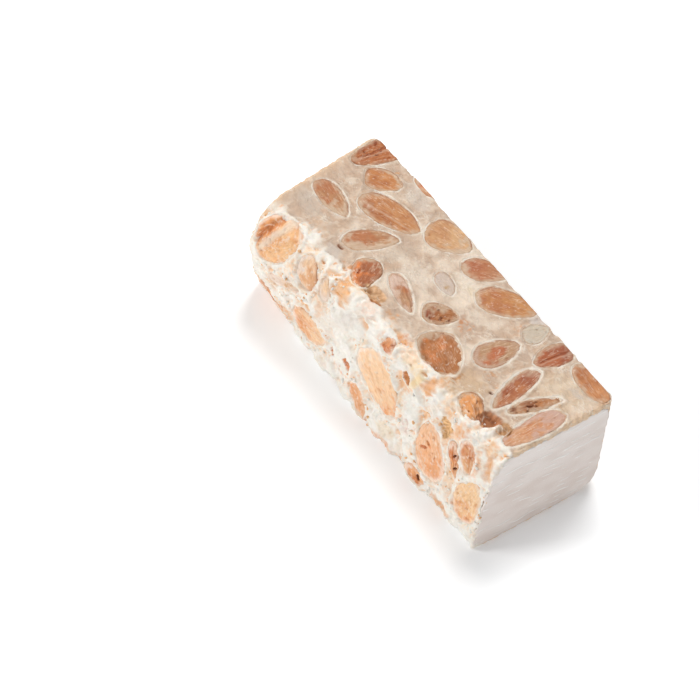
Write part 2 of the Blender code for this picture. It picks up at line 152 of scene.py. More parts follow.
# Where each almond shows, as its solid has it: along the bar, then across or up it; its length, width and
# depth; its turn from the bar's long side to its tip; how far its middle lies under the face. Then its kind,
# and how it differs from that kind.
ALMONDS = {
    "top": [
        (-48.9, 17.6, 17.4, 9.0, 9.0, -99, 0.6, "pitted",
         {"flesh": (180, 110, 65), "deep": (160, 80, 40), "deep_from": -90, "split": (-0.12, 1.0),
          "specks": 0.6, "lip": 0.1}),
        (-40.0, 12.8, 11.6, 8.2, 9.0, 32, 0.6, "tan",
         {"flesh": (195, 130, 75), "film": 0.24, "film_from": 60, "lip_white": 0.2}),
        (-29.6, 7.2, 20.5, 9.6, 9.0, 17, 0.4, "tan",
         {"flesh": (190, 130, 80), "split": (-0.42, 0.5), "film": 0.15, "lip_white": 0.3}),
        (-42.6, -2.8, 15.6, 7.0, 8.0, -3, 0.8, "veiled", {"film": 0.36, "film_from": 0}),
        (-25.0, -2.6, 16.4, 7.2, 8.0, 58, 0.6, "veiled", {"film": 0.4, "film_from": -90, "deep_share": 0.6}),
        (-14.0, 16.0, 14.4, 11.0, 9.0, 20, 0.8, "tan",
         {"flesh": (205, 160, 115), "deep": (190, 135, 90), "film": 0.35, "film_from": 0, "grain": 0.8}),
        (-16.6, -10.6, 11.0, 8.2, 9.0, -62, 0.2, "pitted",
         {"flesh": (165, 100, 65), "deep": (240, 140, 70), "deep_from": -70, "deep_share": 0.35, "pits": 0.15,
          "proud": 0.15}),
        (-6.0, -6.1, 14.4, 5.2, 11.0, -17, 0.4, "veiled",
         {"flesh": (175, 130, 95), "film": 0.36, "film_colour": (215, 190, 175), "lip": 0.25,
          "lip_white": 1.0, "grain": 1.4}),
        (-2.0, 5.6, 8.8, 4.8, 7.0, -12, 0.6, "buried", {}),
        (0.3, 17.6, 14.0, 7.6, 9.0, 42, 0.6, "tan", {"flesh": (180, 120, 80), "deep": (175, 100, 60)}),
        (12.2, 15.6, 18.2, 9.2, 9.0, 38, 0.4, "tan",
         {"flesh": (190, 130, 75), "deep": (175, 105, 60), "lip": 0.22}),
        (5.4, -1.8, 10.4, 7.6, 8.0, 42, 0.6, "pitted",
         {"flesh": (170, 110, 65), "film": 0.36, "film_from": 140}),
        (16.0, -9.4, 15.6, 11.6, 10.0, -14, 0.0, "brown",
         {"flesh": (170, 110, 65), "deep": (210, 125, 65), "deep_from": -150, "deep_share": 0.25,
          "dish": 1.0, "lip": 0.3, "rough": 0.5, "pits": 0.1, "rings": 0.9, "specks": 0.4}),
        (23.8, 3.4, 14.6, 8.4, 8.0, 82, 0.8, "veiled",
         {"flesh": (180, 140, 105), "deep": (180, 95, 50), "deep_share": 0.1, "heart": 3.0, "film": 0.2,
          "film_colour": (190, 160, 140), "lip_white": 0.9, "rings": 0.6}),
        (24.4, 16.2, 8.6, 6.4, 7.0, 84, 0.8, "buried", {"film_colour": (200, 190, 175)}),
        (33.0, 15.6, 12.4, 7.4, 9.0, -98, 0.4, "brown",
         {"flesh": (170, 90, 45), "deep": (145, 70, 35), "split": (0.1, 0.7), "grain": 1.0, "film": 0.02,
          "specks": 0.05}),
        (36.0, 0.2, 18.6, 6.0, 10.0, -80, 0.4, "brown",
         {"flesh": (175, 105, 60), "film": 0.05, "film_from": 0, "lip": 0.4, "lip_white": 1.0,
          "scratches": 0.3, "specks": 0.1}),
        (43.0, 1.4, 16.0, 4.0, 9.0, 72, 0.4, "pitted",
         {"flesh": (185, 125, 80), "deep": (140, 85, 55), "lip": 0.4, "lip_white": 1.0}),
        (48.8, -3.8, 21.2, 7.0, 8.0, -93, 0.6, "veiled",
         {"flesh": (205, 150, 110), "deep": (200, 130, 80), "heart": 1.6, "film": 0.42,
          "film_colour": (200, 165, 150), "lip": 0.25, "lip_white": 1.0, "scratches": 0.7}),
        (46.0, 18.6, 15.4, 7.4, 9.0, -4, 0.4, "tan", {"flesh": (195, 130, 80), "film": 0.05}),
        (34.4, -13.2, 10.4, 7.0, 8.0, -22, 0.2, "pitted",
         {"flesh": (230, 160, 100), "deep": (120, 70, 40), "deep_from": 30, "deep_share": 0.3,
          "scratches": 0.4, "rough": 1.0}),
    ],
    "front": [
        (-42.5, 31.0, 21.5, 14.0, 12.0, -115, 0.2, "orange",
         {"flesh": (240, 190, 140), "deep": (225, 150, 90), "deep_from": -90, "split": (-0.5, 1.0),
          "groove": 1.0, "proud": 0.3, "grain": 1.0, "film": 0.05, "specks": 0.4, "pits": 0.4}),
        (-29.0, 31.0, 13.0, 8.0, 8.0, 95, 0.6, "faint",
         {"flesh": (240, 205, 170), "deep": (220, 160, 110), "edge": (205, 145, 100), "deep_from": -90,
          "edge_from": -90, "deep_share": 0.5, "film": 0.3, "film_from": 90, "lip": 0.3}),
        (-21.5, 31.0, 10.0, 4.5, 7.0, 100, 0.6, "faint",
         {"flesh": (240, 205, 170), "edge_from": -90, "film": 0.35}),
        (-36.5, 19.0, 16.5, 4.5, 8.0, 30, 0.6, "faint", {"flesh": (210, 165, 120)}),
        (-42.5, 4.5, 17.0, 5.0, 9.0, -10, 0.4, "orange", {}),
        (-24.0, 12.0, 15.5, 11.5, 8.0, 15, 0.4, "peach",
         {"flesh": (240, 200, 160), "split": (0.0, 0.6), "deep_share": 0.5}),
        (5.5, 20.0, 22.5, 14.5, 10.0, -35, 0.4, "peach", {"pits": 0.05, "specks": 0.35, "deep_from": -20}),
        (29.5, 16.5, 20.5, 12.5, 9.0, 105, 0.4, "peach",
         {"flesh": (240, 190, 150), "pits": 0.35, "deep_share": 0.5}),
        (47.0, 15.0, 18.0, 10.5, 9.0, 80, 0.6, "peach",
         {"flesh": (240, 200, 155), "pits": 0.2, "heart": 0.4}),
        (38.0, 22.0, 12.0, 4.5, 9.0, -65, 0.4, "orange", {"split": (0.1, 1.0)}),
        (42.0, 27.5, 11.5, 6.5, 8.0, -70, 0.4, "orange", {"flesh": (225, 170, 125), "split": (0.3, 0.6)}),
        (4.5, 34.0, 6.5, 5.0, 6.0, 85, 0.2, "orange", {"flesh": (220, 150, 100), "proud": 0.3}),
        (-0.5, 6.0, 12.5, 7.0, 8.0, -60, 0.6, "peach", {"flesh": (230, 170, 125)}),
        (27.0, 3.5, 10.0, 5.5, 8.0, 10, 0.8, "orange", {}),
    ],
    "back": [
        (-31.6, 35.0, 11.2, 6.4, 4.0, 4, 0.2, "brown",
         {"flesh": (215, 125, 50), "deep": (195, 95, 35), "proud": 0.2}),
        (-43.6, 21.0, 18.4, 10.4, 9.0, -34, 0.6, "tan", {"film": 0.3, "split": (0.1, 0.5)}),
        (-27.0, 21.6, 16.6, 9.6, 9.0, 66, 0.4, "tan", {}),
        (-9.6, 20.6, 19.6, 10.6, 9.0, 24, 0.6, "veiled", {"film": 0.4}),
        (7.6, 20.4, 15.6, 9.4, 9.0, -58, 0.4, "tan", {"flesh": (205, 150, 95)}),
        (22.6, 20.6, 20.4, 10.6, 9.0, 76, 0.6, "tan", {"split": (-0.2, 0.7)}),
        (39.8, 20.2, 17.8, 9.8, 9.0, -22, 0.4, "brown", {"film": 0.2}),
        (-36.4, 7.0, 16.0, 8.8, 9.0, 8, 0.6, "veiled", {}),
        (-14.4, 6.8, 17.0, 8.6, 9.0, -14, 0.4, "tan", {"film": 0.2, "film_from": 0}),
        (6.6, 6.8, 13.6, 8.4, 9.0, 32, 0.6, "pitted", {"pits": 0.25}),
        (32.4, 6.6, 16.6, 8.4, 9.0, 12, 0.4, "tan", {"split": (0.2, 0.6)}),
        (48.0, 8.6, 10.4, 7.4, 8.0, 82, 0.6, "veiled", {}),
    ],
    "bottom": [
        (-42.0, 5.4, 17.6, 10.2, 8.0, 28, 0.6, "tan", {"film": 0.3}),
        (-38.0, -8.0, 16.4, 8.6, 8.0, -20, 0.4, "veiled", {}),
        (-22.0, 1.8, 19.4, 9.8, 8.0, 72, 0.6, "tan", {"split": (0.1, 0.6)}),
        (-8.4, -6.6, 16.6, 8.6, 8.0, 62, 0.4, "brown", {"film": 0.25}),
        (5.0, 4.0, 18.4, 9.6, 8.0, 34, 0.6, "tan", {}),
        (14.6, -8.6, 15.4, 8.8, 8.0, -18, 0.4, "veiled", {"film": 0.45}),
        (26.4, 5.8, 17.4, 9.6, 8.0, -38, 0.6, "tan", {"film": 0.2}),
        (41.6, 4.2, 18.0, 9.8, 8.0, 76, 0.4, "tan", {"split": (-0.2, 0.6)}),
    ],
}
# Points round an almond, rows over the part that shows and rows under it, finer on the faces seen closest
FINE_FACES = ("top", "front")
FINE_STEPS = (112, 34, 9)
PLAIN_STEPS = (72, 20, 7)
ALMOND_FROM_END = 1.15  # so that no almond comes through a wafer

# Holes: along, across or up, the two widths, turn, depth, colour; the colour is partly the hole's own tone
# and partly painted shade
HOLES = {
    "top": [
        (40.4, -11.6, 7.2, 5.6, 30, 2.4, (188, 130, 92)),
        (44.6, -10.0, 4.6, 4.4, 10, 1.8, (206, 162, 120)),
        (43.0, -11.8, 6.0, 1.7, 74, -2.6, (246, 232, 216)),
        (-9.8, -12.4, 7.0, 4.8, 20, 1.2, (212, 170, 130)),
        (-7.4, -14.0, 3.8, 1.6, 20, 0.7, (186, 128, 84)),
        (33.4, -6.0, 1.4, 1.0, 0, 1.2, (112, 62, 32)),
        (-27.6, -10.8, 2.4, 0.7, 0, 0.6, (150, 104, 78)),
    ],
    "front": [
        (31.5, 28.5, 4.5, 6.5, 20, 1.0, (225, 180, 130)),
        (14.0, 30.5, 4.0, 4.5, -30, 2.0, (205, 140, 90)),
        (-7.0, 14.5, 3.5, 4.0, 0, 2.0, (215, 140, 90)),
        (18.0, 27.5, 1.2, 0.9, 20, 1.2, (130, 115, 115)),
        (38.0, 24.0, 1.5, 0.7, 60, 1.4, (120, 60, 25)),
        (39.5, 20.5, 2.0, 0.8, 55, 1.6, (125, 60, 25)),
        (27.0, 16.0, 3.5, 1.0, 40, 0.7, (205, 130, 85)),
        (28.5, 18.5, 2.5, 1.2, -30, 0.5, (220, 150, 100)),
        (28.5, 4.5, 1.3, 2.0, 30, 1.6, (110, 55, 25)),
        (-13.5, 13.0, 1.5, 2.5, 20, 1.2, (205, 130, 80)),
    ],
}
# Stains and smears in the nougat, and bands of painted shade: along, across or up, the two widths, turn,
# colour, strength, how broken
SMEARS_AND_SHADES = {
    "top": [
        (-30.0, 17.0, 10.0, 6.0, 0, (212, 200, 188), 0.7, 0.2),
        # painted shade: the next two darken a band along the far top edge and its front corner
        (-50.0, 4.0, 8.0, 22.0, 0, (196, 168, 146), 0.7, 0.3),
        (-48.0, -10.0, 9.0, 10.0, 20, (196, 172, 152), 0.7, 0.3),
        (-17.4, 1.6, 4.5, 12.0, -10, (204, 186, 168), 0.8, 0.4),
        (-44.0, -9.0, 16.0, 5.0, -8, (204, 190, 176), 0.7, 0.3),
        (-37.0, -11.0, 8.0, 3.6, -20, (214, 180, 150), 0.6, 0.6),
        (-27.6, -13.2, 6.0, 4.0, 0, (204, 190, 178), 0.9, 0.1),
        (-9.0, 1.0, 12.0, 8.0, 20, (228, 214, 198), 0.7, 0.2),
        (3.0, 10.4, 14.0, 3.0, 8, (214, 196, 164), 0.5, 0.5),
        (11.6, 1.8, 5.0, 5.4, 0, (206, 140, 94), 0.8, 1.0),
        (21.6, 13.6, 5.0, 5.0, 0, (206, 156, 118), 0.7, 1.0),
        (21.8, 19.0, 7.0, 3.6, 0, (214, 206, 202), 0.7, 0.3),
        (46.4, 13.2, 4.4, 2.0, 12, (196, 188, 186), 0.9, 0.1),
        (27.0, -10.6, 14.0, 11.0, 10, (212, 182, 150), 0.95, 0.3),
        (24.0, -11.0, 5.0, 6.0, 0, (204, 144, 92), 0.8, 1.0),
        (28.4, -2.0, 4.0, 3.4, 0, (206, 152, 108), 0.7, 1.0),
        (12.0, 6.0, 9.0, 5.0, 30, (232, 216, 198), 0.8, 0.2),
        (-1.0, 10.6, 7.0, 5.0, 10, (236, 222, 206), 0.8, 0.2),
        (52.0, 17.0, 1.4, 2.6, 20, (196, 150, 116), 0.8, 0.2),
        (44.0, 10.0, 15.0, 18.0, 0, (228, 206, 178), 0.55, 0.2),
        (-19.0, -14.0, 8.0, 3.0, -20, (222, 150, 92), 0.8, 0.9),
        (-1.0, -13.0, 5.0, 2.0, -10, (214, 160, 112), 0.7, 0.8),
        (6.4, -14.4, 3.6, 3.6, 30, (222, 146, 88), 0.8, 0.6),
    ],
    "front": [
        (14.5, 35.5, 9.0, 4.0, -10, (240, 210, 160), 0.7, 0.5),
        (17.5, 32.5, 3.0, 8.0, -20, (245, 215, 160), 0.85, 0.2),
        (-11.5, 28.0, 6.0, 13.0, -30, (225, 215, 205), 0.7, 0.3),
        (12.5, 7.0, 8.0, 6.0, 20, (230, 210, 180), 0.7, 0.3),
        (46.5, 35.5, 6.0, 4.0, 20, (235, 190, 145), 0.8, 0.6),
        (49.5, 31.0, 4.0, 9.0, 10, (230, 175, 125), 0.9, 0.25),
        (47.0, 30.0, 3.5, 3.0, 0, (225, 205, 185), 0.8, 0.3),
        (38.0, 13.5, 5.0, 10.0, 20, (240, 205, 170), 0.7, 0.5),
        (11.0, 36.5, 7.0, 4.0, 0, (245, 210, 180), 0.7, 0.5),
        (31.0, 34.5, 8.0, 7.0, 0, (240, 195, 150), 0.8, 0.5),
        (37.5, 32.5, 6.0, 6.0, -20, (235, 170, 115), 0.85, 0.5),
        (-16.5, 35.0, 6.5, 7.5, 30, (230, 170, 110), 0.95, 0.2),
        (22.0, 34.5, 4.5, 7.5, -20, (225, 160, 100), 0.95, 0.2),
        (-10.0, 9.5, 5.0, 2.5, 15, (225, 150, 90), 0.9, 0.9),
        (-22.0, 26.0, 3.5, 16.0, 5, (240, 205, 175), 0.8, 0.3),
        (19.0, 15.5, 4.0, 7.0, 0, (215, 185, 175), 0.7, 0.9),
        (-32.0, 23.0, 9.0, 4.0, 30, (220, 210, 195), 0.7, 0.3),
        (-35.0, 6.0, 9.0, 5.0, -20, (235, 180, 130), 0.8, 0.6),
        (3.5, 2.5, 8.0, 2.5, 0, (220, 160, 115), 0.8, 0.8),
        (-6.5, 36.5, 7.0, 4.0, 0, (240, 210, 190), 0.7, 0.6),
        (-27.0, 34.5, 5.0, 5.0, 0, (235, 195, 155), 0.8, 0.5),
        (-34.5, 31.0, 4.0, 9.0, 10, (235, 190, 145), 0.6, 0.4),
        (44.0, 27.0, 5.5, 9.0, -20, (230, 165, 115), 0.9, 0.1),
        (-44.0, 3.0, 18.0, 6.0, 0, (225, 150, 90), 0.85, 0.4),
        (38.5, 3.0, 9.0, 4.5, 10, (230, 170, 120), 0.9, 0.3),
        (12.0, 2.0, 10.0, 3.0, 0, (230, 160, 110), 0.8, 0.6),
        (-36.5, 31.5, 4.0, 5.0, 0, (250, 240, 230), 0.9, 0.1),
        (35.0, 29.0, 3.0, 12.0, -20, (240, 190, 145), 0.8, 0.3),
    ],
}
# Places where the tear reaches in over the top: along the bar, how far in, and how wide
TEARS = (
    (-37.0, 3.4, 4.0), (-18.0, 2.2, 4.0), (-9.0, 2.0, 3.0), (6.0, 1.8, 3.0),
    (24.0, 2.6, 4.5), (40.5, 4.0, 3.0), (50.0, 1.5, 3.0),
)
NOUGAT_TOP = (202, 175, 152)
NOUGAT_CREAM = (234, 218, 200)
NOUGAT_GREY = (194, 172, 155)
NOUGAT_WHITE = (243, 239, 231)
NOUGAT_PINK = (240, 218, 200)
NOUGAT_TAN = (206, 168, 136)
NOUGAT_GLASSY = (236, 221, 206)
NOUGAT_PEACH = (244, 206, 166)
# the torn side's painted shade in its hollows and pores, which is also the colour of almond crumbs
HOLLOW_SHADE_AND_ALMOND_CRUMB = (236, 184, 134)
NOUGAT_CRUST = (238, 206, 172)
CRUMB_ORANGE = (230, 158, 92)
WAFER_PALE = (241, 233, 228)
WAFER_GREY = (222, 208, 200)
WAFER_DASH = (255, 253, 251)
NOUGAT_VEIN_AND_FOLD_HIGHLIGHT = (248, 238, 224)
NOUGAT_GRIT = (250, 240, 228)
NOUGAT_LIP = (252, 243, 230)
ALMOND_SPECK = (238, 212, 188)
ALMOND_VEIN = (240, 214, 188)
# and what darkens the nougat beside an almond as a painted shadow line, the almond's fibres and its rim, as
# shares of each light
NOUGAT_GAP_SHADOW = (0.8, 0.56, 0.38, 1.0)
FIBRE_SHADE = (0.92, 0.82, 0.68, 1.0)
RIM_SHADE = (0.84, 0.58, 0.4, 1.0)

# Camera, floor and light. The floor's reach is in metres.
FLOOR_REACH = 3.0
LAMP_DISTANCE = 1.2
LAMP_COLOUR = (1.0, 0.985, 0.965)
CAMERA_AZIMUTH = 45.33  # from straight in front of the torn side, towards the near end
CAMERA_ELEVATION = 53.0
CAMERA_ROLL = 9.77
CAMERA_DISTANCE = 900.0
CAMERA_LENS = 169.3
CAMERA_LOOKS_AT = (0.0, 0.0, 18.65)
CAMERA_SHIFT = (-0.1091, -0.0164)


# ---------------------------------------------------------------- numbers


def smoothstep(low, high, value):
    """0 below low and 1 above high, with an even S between them; low may be the larger one."""
    t = np.clip((value - low) / (high - low), 0, 1)
    return t * t * (3 - 2 * t)


def blend(first, second, share):
    """Colours or points on the way from first to second, by each point's share."""
    share = np.asarray(share)[..., None]
    return first * (1 - share) + np.asarray(second) * share


def linear(colour):
    """A colour written as screen values, as the light it stands for."""
    share = np.asarray(colour, float) / 255
    return np.where(share <= 0.04045, share / 12.92, ((share + 0.055) / 1.055) ** 2.4)


def lattice(cell, seed):
    """Three random numbers from -1 to 1 for each whole-numbered cell: its three numbers and the seed, times
    large primes, are mixed by shifting and multiplying, and the result is split in three."""
    x, y, z = (cell[..., n].astype(np.int64) for n in range(3))
    mixed = (x * 73856093) ^ (y * 19349663) ^ (z * 83492791) ^ (seed * 2654435761)
    mixed = (mixed & 0xFFFFFFFF) * 2246822519 & 0xFFFFFFFF
    mixed = (mixed ^ (mixed >> 15)) * 3266489917 & 0xFFFFFFFF
    mixed ^= mixed >> 13
    return np.stack([(mixed >> shift & 1023) / 511.5 - 1 for shift in (0, 10, 20)], -1)


def noise(points, seed=0):
    """Gradient noise from about -1 to 1: each corner of a point's cell has a random slope, and the eight
    heights that those give are blended by a fifth-order curve."""
    home = np.floor(points)
    inside = points - home
    fade = inside**3 * (inside * (inside * 6 - 15) + 10)
    total = 0
    for corner in product((0, 1), repeat=3):
        slope = lattice(home + corner, seed)
        weight = np.prod(np.where(corner, fade, 1 - fade), axis=-1)
        total = total + weight * np.sum(slope * (inside - corner), axis=-1)
    return 1.5 * total


def layers(points, count=3, seed=0, gain=0.5):
    """Noise added up over octaves, each twice as fine and gain times as strong as the last."""
    return sum(gain**n * noise(points * 2.03**n + 17.3 * n, seed + n) for n in range(count))


def ridges(points, count=3, seed=0):
    """Crests from 0 to about 1: one minus the size of the noise, sharpened, over octaves."""
    crests = (1 - np.abs(noise(points * 2.1**n + 9.1 * n, seed + n)) for n in range(count))
    return sum(0.5**n * crest**3 for n, crest in enumerate(crests)) / 1.6


def cells(points, seed=0):
    """Cell noise: the distance to the nearest of the scattered points, one in each cell, and that one's
    random number from -1 to 1."""
    home = np.floor(points)
    nearest = np.full(points.shape[:-1], 9.0)
    which = np.zeros(points.shape[:-1])
    for step in product((-1, 0, 1), repeat=3):
        cell = home + step
        away = np.linalg.norm(cell + 0.5 + 0.42 * lattice(cell, seed) - points, axis=-1)
        closer = away < nearest
        nearest = np.where(closer, away, nearest)
        which = np.where(closer, lattice(cell, seed + 77)[..., 0], which)
    return nearest, which


def sphere(polar, turn):
    """Unit vectors at each angle from the z axis, by each turn about it: rows by turns by 3."""
    return np.stack([
        np.sin(polar)[:, None] * np.cos(turn),
        np.sin(polar)[:, None] * np.sin(turn),
        np.cos(polar)[:, None] * np.ones_like(turn),
    ], -1)


# ---------------------------------------------------------------- the block


def front_y(x, z):
    """Where the torn side stands, at a place along the straight box and a height: on the line from its foot
    to its top edge, pushed out by a parabola that is highest half way up."""
    share = x / HALF_LENGTH
    foot, top, bulge = (m + s * share + c * share**2 for m, s, c in (FRONT_FOOT, FRONT_TOP, FRONT_BULGE))
    up = z / HEIGHT
    return foot + (top - foot) * up - bulge * 4 * up * (1 - up)


def end_xs(y, z):
    """Where the far and near ends stand."""
    down = HEIGHT - z
    return -HALF_LENGTH - FAR_SKEW * y - FAR_LEAN * down, HALF_LENGTH + NEAR_SKEW * y + NEAR_LEAN * down


def slant(points):
    """From the straight box to the bar: y is drawn to the bulging front, x out to the skewed ends."""
    x, y, z = points[..., 0], points[..., 1], points[..., 2]
    front = front_y(x, z)
    y = front + (y + HALF_WIDTH) / (2 * HALF_WIDTH) * (HALF_WIDTH - front)
    far, near = end_xs(y, z)
    return np.stack([far + (x + HALF_LENGTH) / (2 * HALF_LENGTH) * (near - far), y, z], -1)


def straighten(points):
    """From the bar back to the straight box."""
    x, y, z = points[..., 0], points[..., 1], points[..., 2]
    far, near = end_xs(y, z)
    x = (x - far) / (near - far) * 2 * HALF_LENGTH - HALF_LENGTH
    front = front_y(x, z)
    return np.stack([x, (y - front) / (HALF_WIDTH - front) * 2 * HALF_WIDTH - HALF_WIDTH, z], -1)


def section_limits(x):
    """The section's front, back, bottom and top at each x of the straight box. Near an end each one is drawn
    in along a quarter circle."""
    limits = []
    for n, flat in enumerate((-HALF_WIDTH, HALF_WIDTH, 0.0, HEIGHT)):
        inset = 0
        for from_end, rounding in ((x + HALF_LENGTH, FAR_ROUNDING[n]), (HALF_LENGTH - x, NEAR_ROUNDING[n])):
            short = np.clip(1 - from_end / rounding, 0, 1)
            inset = inset + rounding * (1 - np.sqrt(1 - short**2))
        limits.append(flat + inset * (1 if n % 2 == 0 else -1))
    return limits


def corner_radii(x):
    """The radius of each corner of the section at each x: corners by x."""
    far, near = smoothstep(-38, -HALF_LENGTH, x), smoothstep(40, HALF_LENGTH, x)
    return np.array([r + f * far + n * near for (_, _, r), f, n in zip(CORNERS, FAR_ROUNDER, NEAR_ROUNDER)])


def section_ring():
    """The points round a section, each as two corners, the two angles on their arcs, and how far it is from
    the first to the second."""
    ring = []
    for n, steps in enumerate(ARC_STEPS):
        start = pi + pi / 2 - pi / 2 * n  # the arc's first direction, going up the front and over
        ring += [(n, start - pi / 2 * k / steps, n, 0.0, 0.0) for k in range(steps)]
        end = start - pi / 2
        ring += [(n, end, (n + 1) % 4, end, k / SIDE_STEPS[n]) for k in range(SIDE_STEPS[n])]
    return np.array(ring)


def section_points(x, scale):
    """Points round the section at each x: rows by ring points by 3. Each is on an arc about its corner's
    centre, or on the line between two arcs. Scale shrinks a row about its middle, to close an end."""
    front, back, bottom, top = section_limits(x)
    ring = section_ring()

    radii = corner_radii(x)

    def on_corner(column, angle):
        corner = ring[:, column].astype(int)
        side, level = np.array(CORNERS)[corner, :2].T
        radius = radii[corner].T
        y = np.where(side > 0, back[:, None], front[:, None]) - side * radius
        z = np.where(level > 0, top[:, None], bottom[:, None]) - level * radius
        return y + radius * np.cos(angle), z + radius * np.sin(angle)

    along = ring[:, 4] > 0
    first = on_corner(0, ring[:, 1])
    second = on_corner(2, np.where(along, ring[:, 3], ring[:, 1]))
    y, z = (a * (1 - ring[:, 4]) + b * ring[:, 4] for a, b in zip(first, second))
    middle_y, middle_z = (front + back) / 2, (bottom + top) / 2
    y = middle_y[:, None] + (y - middle_y[:, None]) * scale[:, None]
    z = middle_z[:, None] + (z - middle_z[:, None]) * scale[:, None]
    return np.stack([np.broadcast_to(x[:, None], y.shape), y, z], -1)


def outside(points):
    """How far points lie outside the rounded section of the straight box, and the way out in its plane."""
    front, back, bottom, top = section_limits(np.clip(points[..., 0], -HALF_LENGTH, HALF_LENGTH))
    y, z = points[..., 1], points[..., 2]
    side = np.where(y > (front + back) / 2, 1, -1)
    level = np.where(z > (bottom + top) / 2, 1, -1)
    radii = corner_radii(points[..., 0])
    radius = sum(r * ((side == s) & (level == v)) for r, (s, v, _) in zip(radii, CORNERS))
    past_y = side * (y - np.where(side > 0, back, front)) + radius
    past_z = level * (z - np.where(level > 0, top, bottom)) + radius
    corner = (past_y > 0) & (past_z > 0)
    reach = np.hypot(past_y, past_z) + 1e-9
    way_y = np.where(corner, past_y / reach, past_y >= past_z) * side
    way_z = np.where(corner, past_z / reach, past_y < past_z) * level
    distance = np.where(corner, reach, np.maximum(past_y, past_z)) - radius
    return distance, np.stack([np.zeros_like(y), way_y, way_z], -1)


def torn_share(points, spread=0.8):
    """1 on the torn side and 0 on the cut ones. The border between them wanders along the edge of the top,
    and the tear reaches further in at the places that TEARS lists. Spread is half its width."""
    x, y, z = points[..., 0], points[..., 1], points[..., 2]
    border = -16.9 + 1.5 * layers(points / 6.0, 2, 31) + 0.9 * layers(points / 1.9, 2, 33)
    for along, reach, width in TEARS:
        border = border + np.where(z > HEIGHT / 2, reach, 0) * np.exp(-(((x - along) / width) ** 2))
    return smoothstep(border + spread, border - spread, y)


def wafer_reach(points):
    """How far points of the straight box lie outside a wafer's ragged outline, a rounded rectangle. The near
    wafer's low back corner is rounder, and both wafers are more ragged beside the tear."""
    y, z = points[..., 1], points[..., 2]
    margins = np.where(points[..., :1] > 0, NEAR_WAFER, FAR_WAFER)
    front, back, bottom, top = np.moveaxis(margins, -1, 0)
    half_y, half_z = HALF_WIDTH - (front + back) / 2, (HEIGHT - bottom - top) / 2
    rounder = 4.0 * (points[..., 0] > 0) * (y > 0) * (z < HEIGHT / 2)
    corner = WAFER_CORNER + rounder
    past_y = np.abs(y - (front - back) / 2) - half_y + corner
    past_z = np.abs(z - bottom - half_z) - half_z + corner
    round_corner = np.hypot(np.maximum(past_y, 0), np.maximum(past_z, 0))
    flat = np.stack([y, z, np.zeros_like(y)], -1)
    torn = smoothstep(-15, -19, y)
    ragged = (0.3 + 0.6 * torn) * noise(flat / 2.3, 5) + (0.22 + 0.3 * torn) * noise(flat / 0.8, 6)
    return round_corner + np.minimum(np.maximum(past_y, past_z), 0) - corner + ragged


# ---------------------------------------------------------------- almonds


def face_directions(face):
    """Along, up and outward unit vectors of a face of the bar."""
    lean = atan2(FRONT_LEAN, 1)
    up = {
        "top": (0, 1, 0),
        "front": (0, sin(lean), cos(lean)),
        "back": (0, 0, 1),
        "bottom": (0, 1, 0),
    }[face]
    out = np.cross((1, 0, 0), up)
    return np.array((1.0, 0, 0)), np.array(up, float), -out if face in ("back", "bottom") else out


def place_on(face, along, up):
    """The point of a face at a place along the bar and across or up it."""
    if face in ("top", "bottom"):
        return np.array((along, up, HEIGHT if face == "top" else 0.0))
    return np.array((along, HALF_WIDTH if face == "back" else front_y(along, up), up))


class Almond:
    """An almond's seat, and its form: a ball drawn out to a round end and a narrow tip, with a few waves."""

    def __init__(self, face, number, row):
        along, up, length, width, depth, turn, sunk, kind, own = row
        self.face = face
        self.node = f"almond_{face}_{number:02d}"
        self.seed = 100 + 10 * number + 1000 * ("top", "front", "back", "bottom").index(face)
        self.look = {**PLAIN, **KINDS[kind], **own}
        right, upward, out = face_directions(face)
        tip = right * cos(radians(turn)) + upward * sin(radians(turn))
        self.axes = np.stack([tip, np.cross(out, tip), out])
        self.middle = place_on(face, along, up) - out * sunk
        self.half = np.array((length, width, depth)) / 2

    def outline(self, ways):
        """How much larger than a plain ball it is each way from its middle: broad swells and small nicks."""
        shift = self.seed * 1.7
        return 0.98 + 0.075 * noise(ways * 1.3 + shift, 51) + 0.03 * noise(ways * 4.1 + shift, 52)

    def inside(self, points):
        """Points of the bar in the almond's own measure, in which its plain surface is the unit ball."""
        own = (points - self.middle) @ self.axes.T
        tip = own[..., 0] / self.half[0]
        narrowing = 1 - TAPER * np.clip(tip, -1.2, 1.2)
        across, deep = (own[..., n] / self.half[n] / narrowing for n in (1, 2))
        return np.stack([tip, across, deep], -1)

    def distance(self, points):
        """How far points lie outside the almond, and the way away from it. The size in the almond's own
        measure, less its outline, is divided by how fast that size grows."""
        t, a, b = np.moveaxis(self.inside(points), -1, 0)
        size = np.sqrt(t * t + a * a + b * b) + 1e-9
        narrowing = 1 - TAPER * np.clip(t, -1.2, 1.2)
        lengthwise = (t + TAPER / narrowing * (a * a + b * b)) / self.half[0]
        growth = np.stack([lengthwise, a / narrowing / self.half[1], b / narrowing / self.half[2]], -1)
        growth = growth / size[..., None]
        steepness = np.linalg.norm(growth, axis=-1) + 1e-9
        ways = np.stack([t, a, b], -1) / size[..., None]
        return (size - self.outline(ways)) / steepness, growth / steepness[..., None] @ self.axes

    def ball(self, around, over, under):
        """Its surface as rings about its outward axis: even steps of radius over the part that shows, then
        even angles under it. The first and last rings are the poles."""
        polar = np.concatenate([np.arcsin(np.linspace(0, 1, over)), np.linspace(pi / 2, pi, under + 1)[1:]])
        turn = np.linspace(0, 2 * pi, around, endpoint=False)
        ways = sphere(polar, turn)
        own = ways * self.outline(ways)[..., None]
        narrowing = 1 - TAPER * np.clip(own[..., :1], -1.2, 1.2)
        own = own * np.concatenate([np.ones_like(narrowing), narrowing, narrowing], -1) * self.half
        return self.middle + own @ self.axes


almonds = [
    Almond(face, number, row)
    for face, rows in ALMONDS.items()
    for number, row in enumerate(rows, start=1)
]


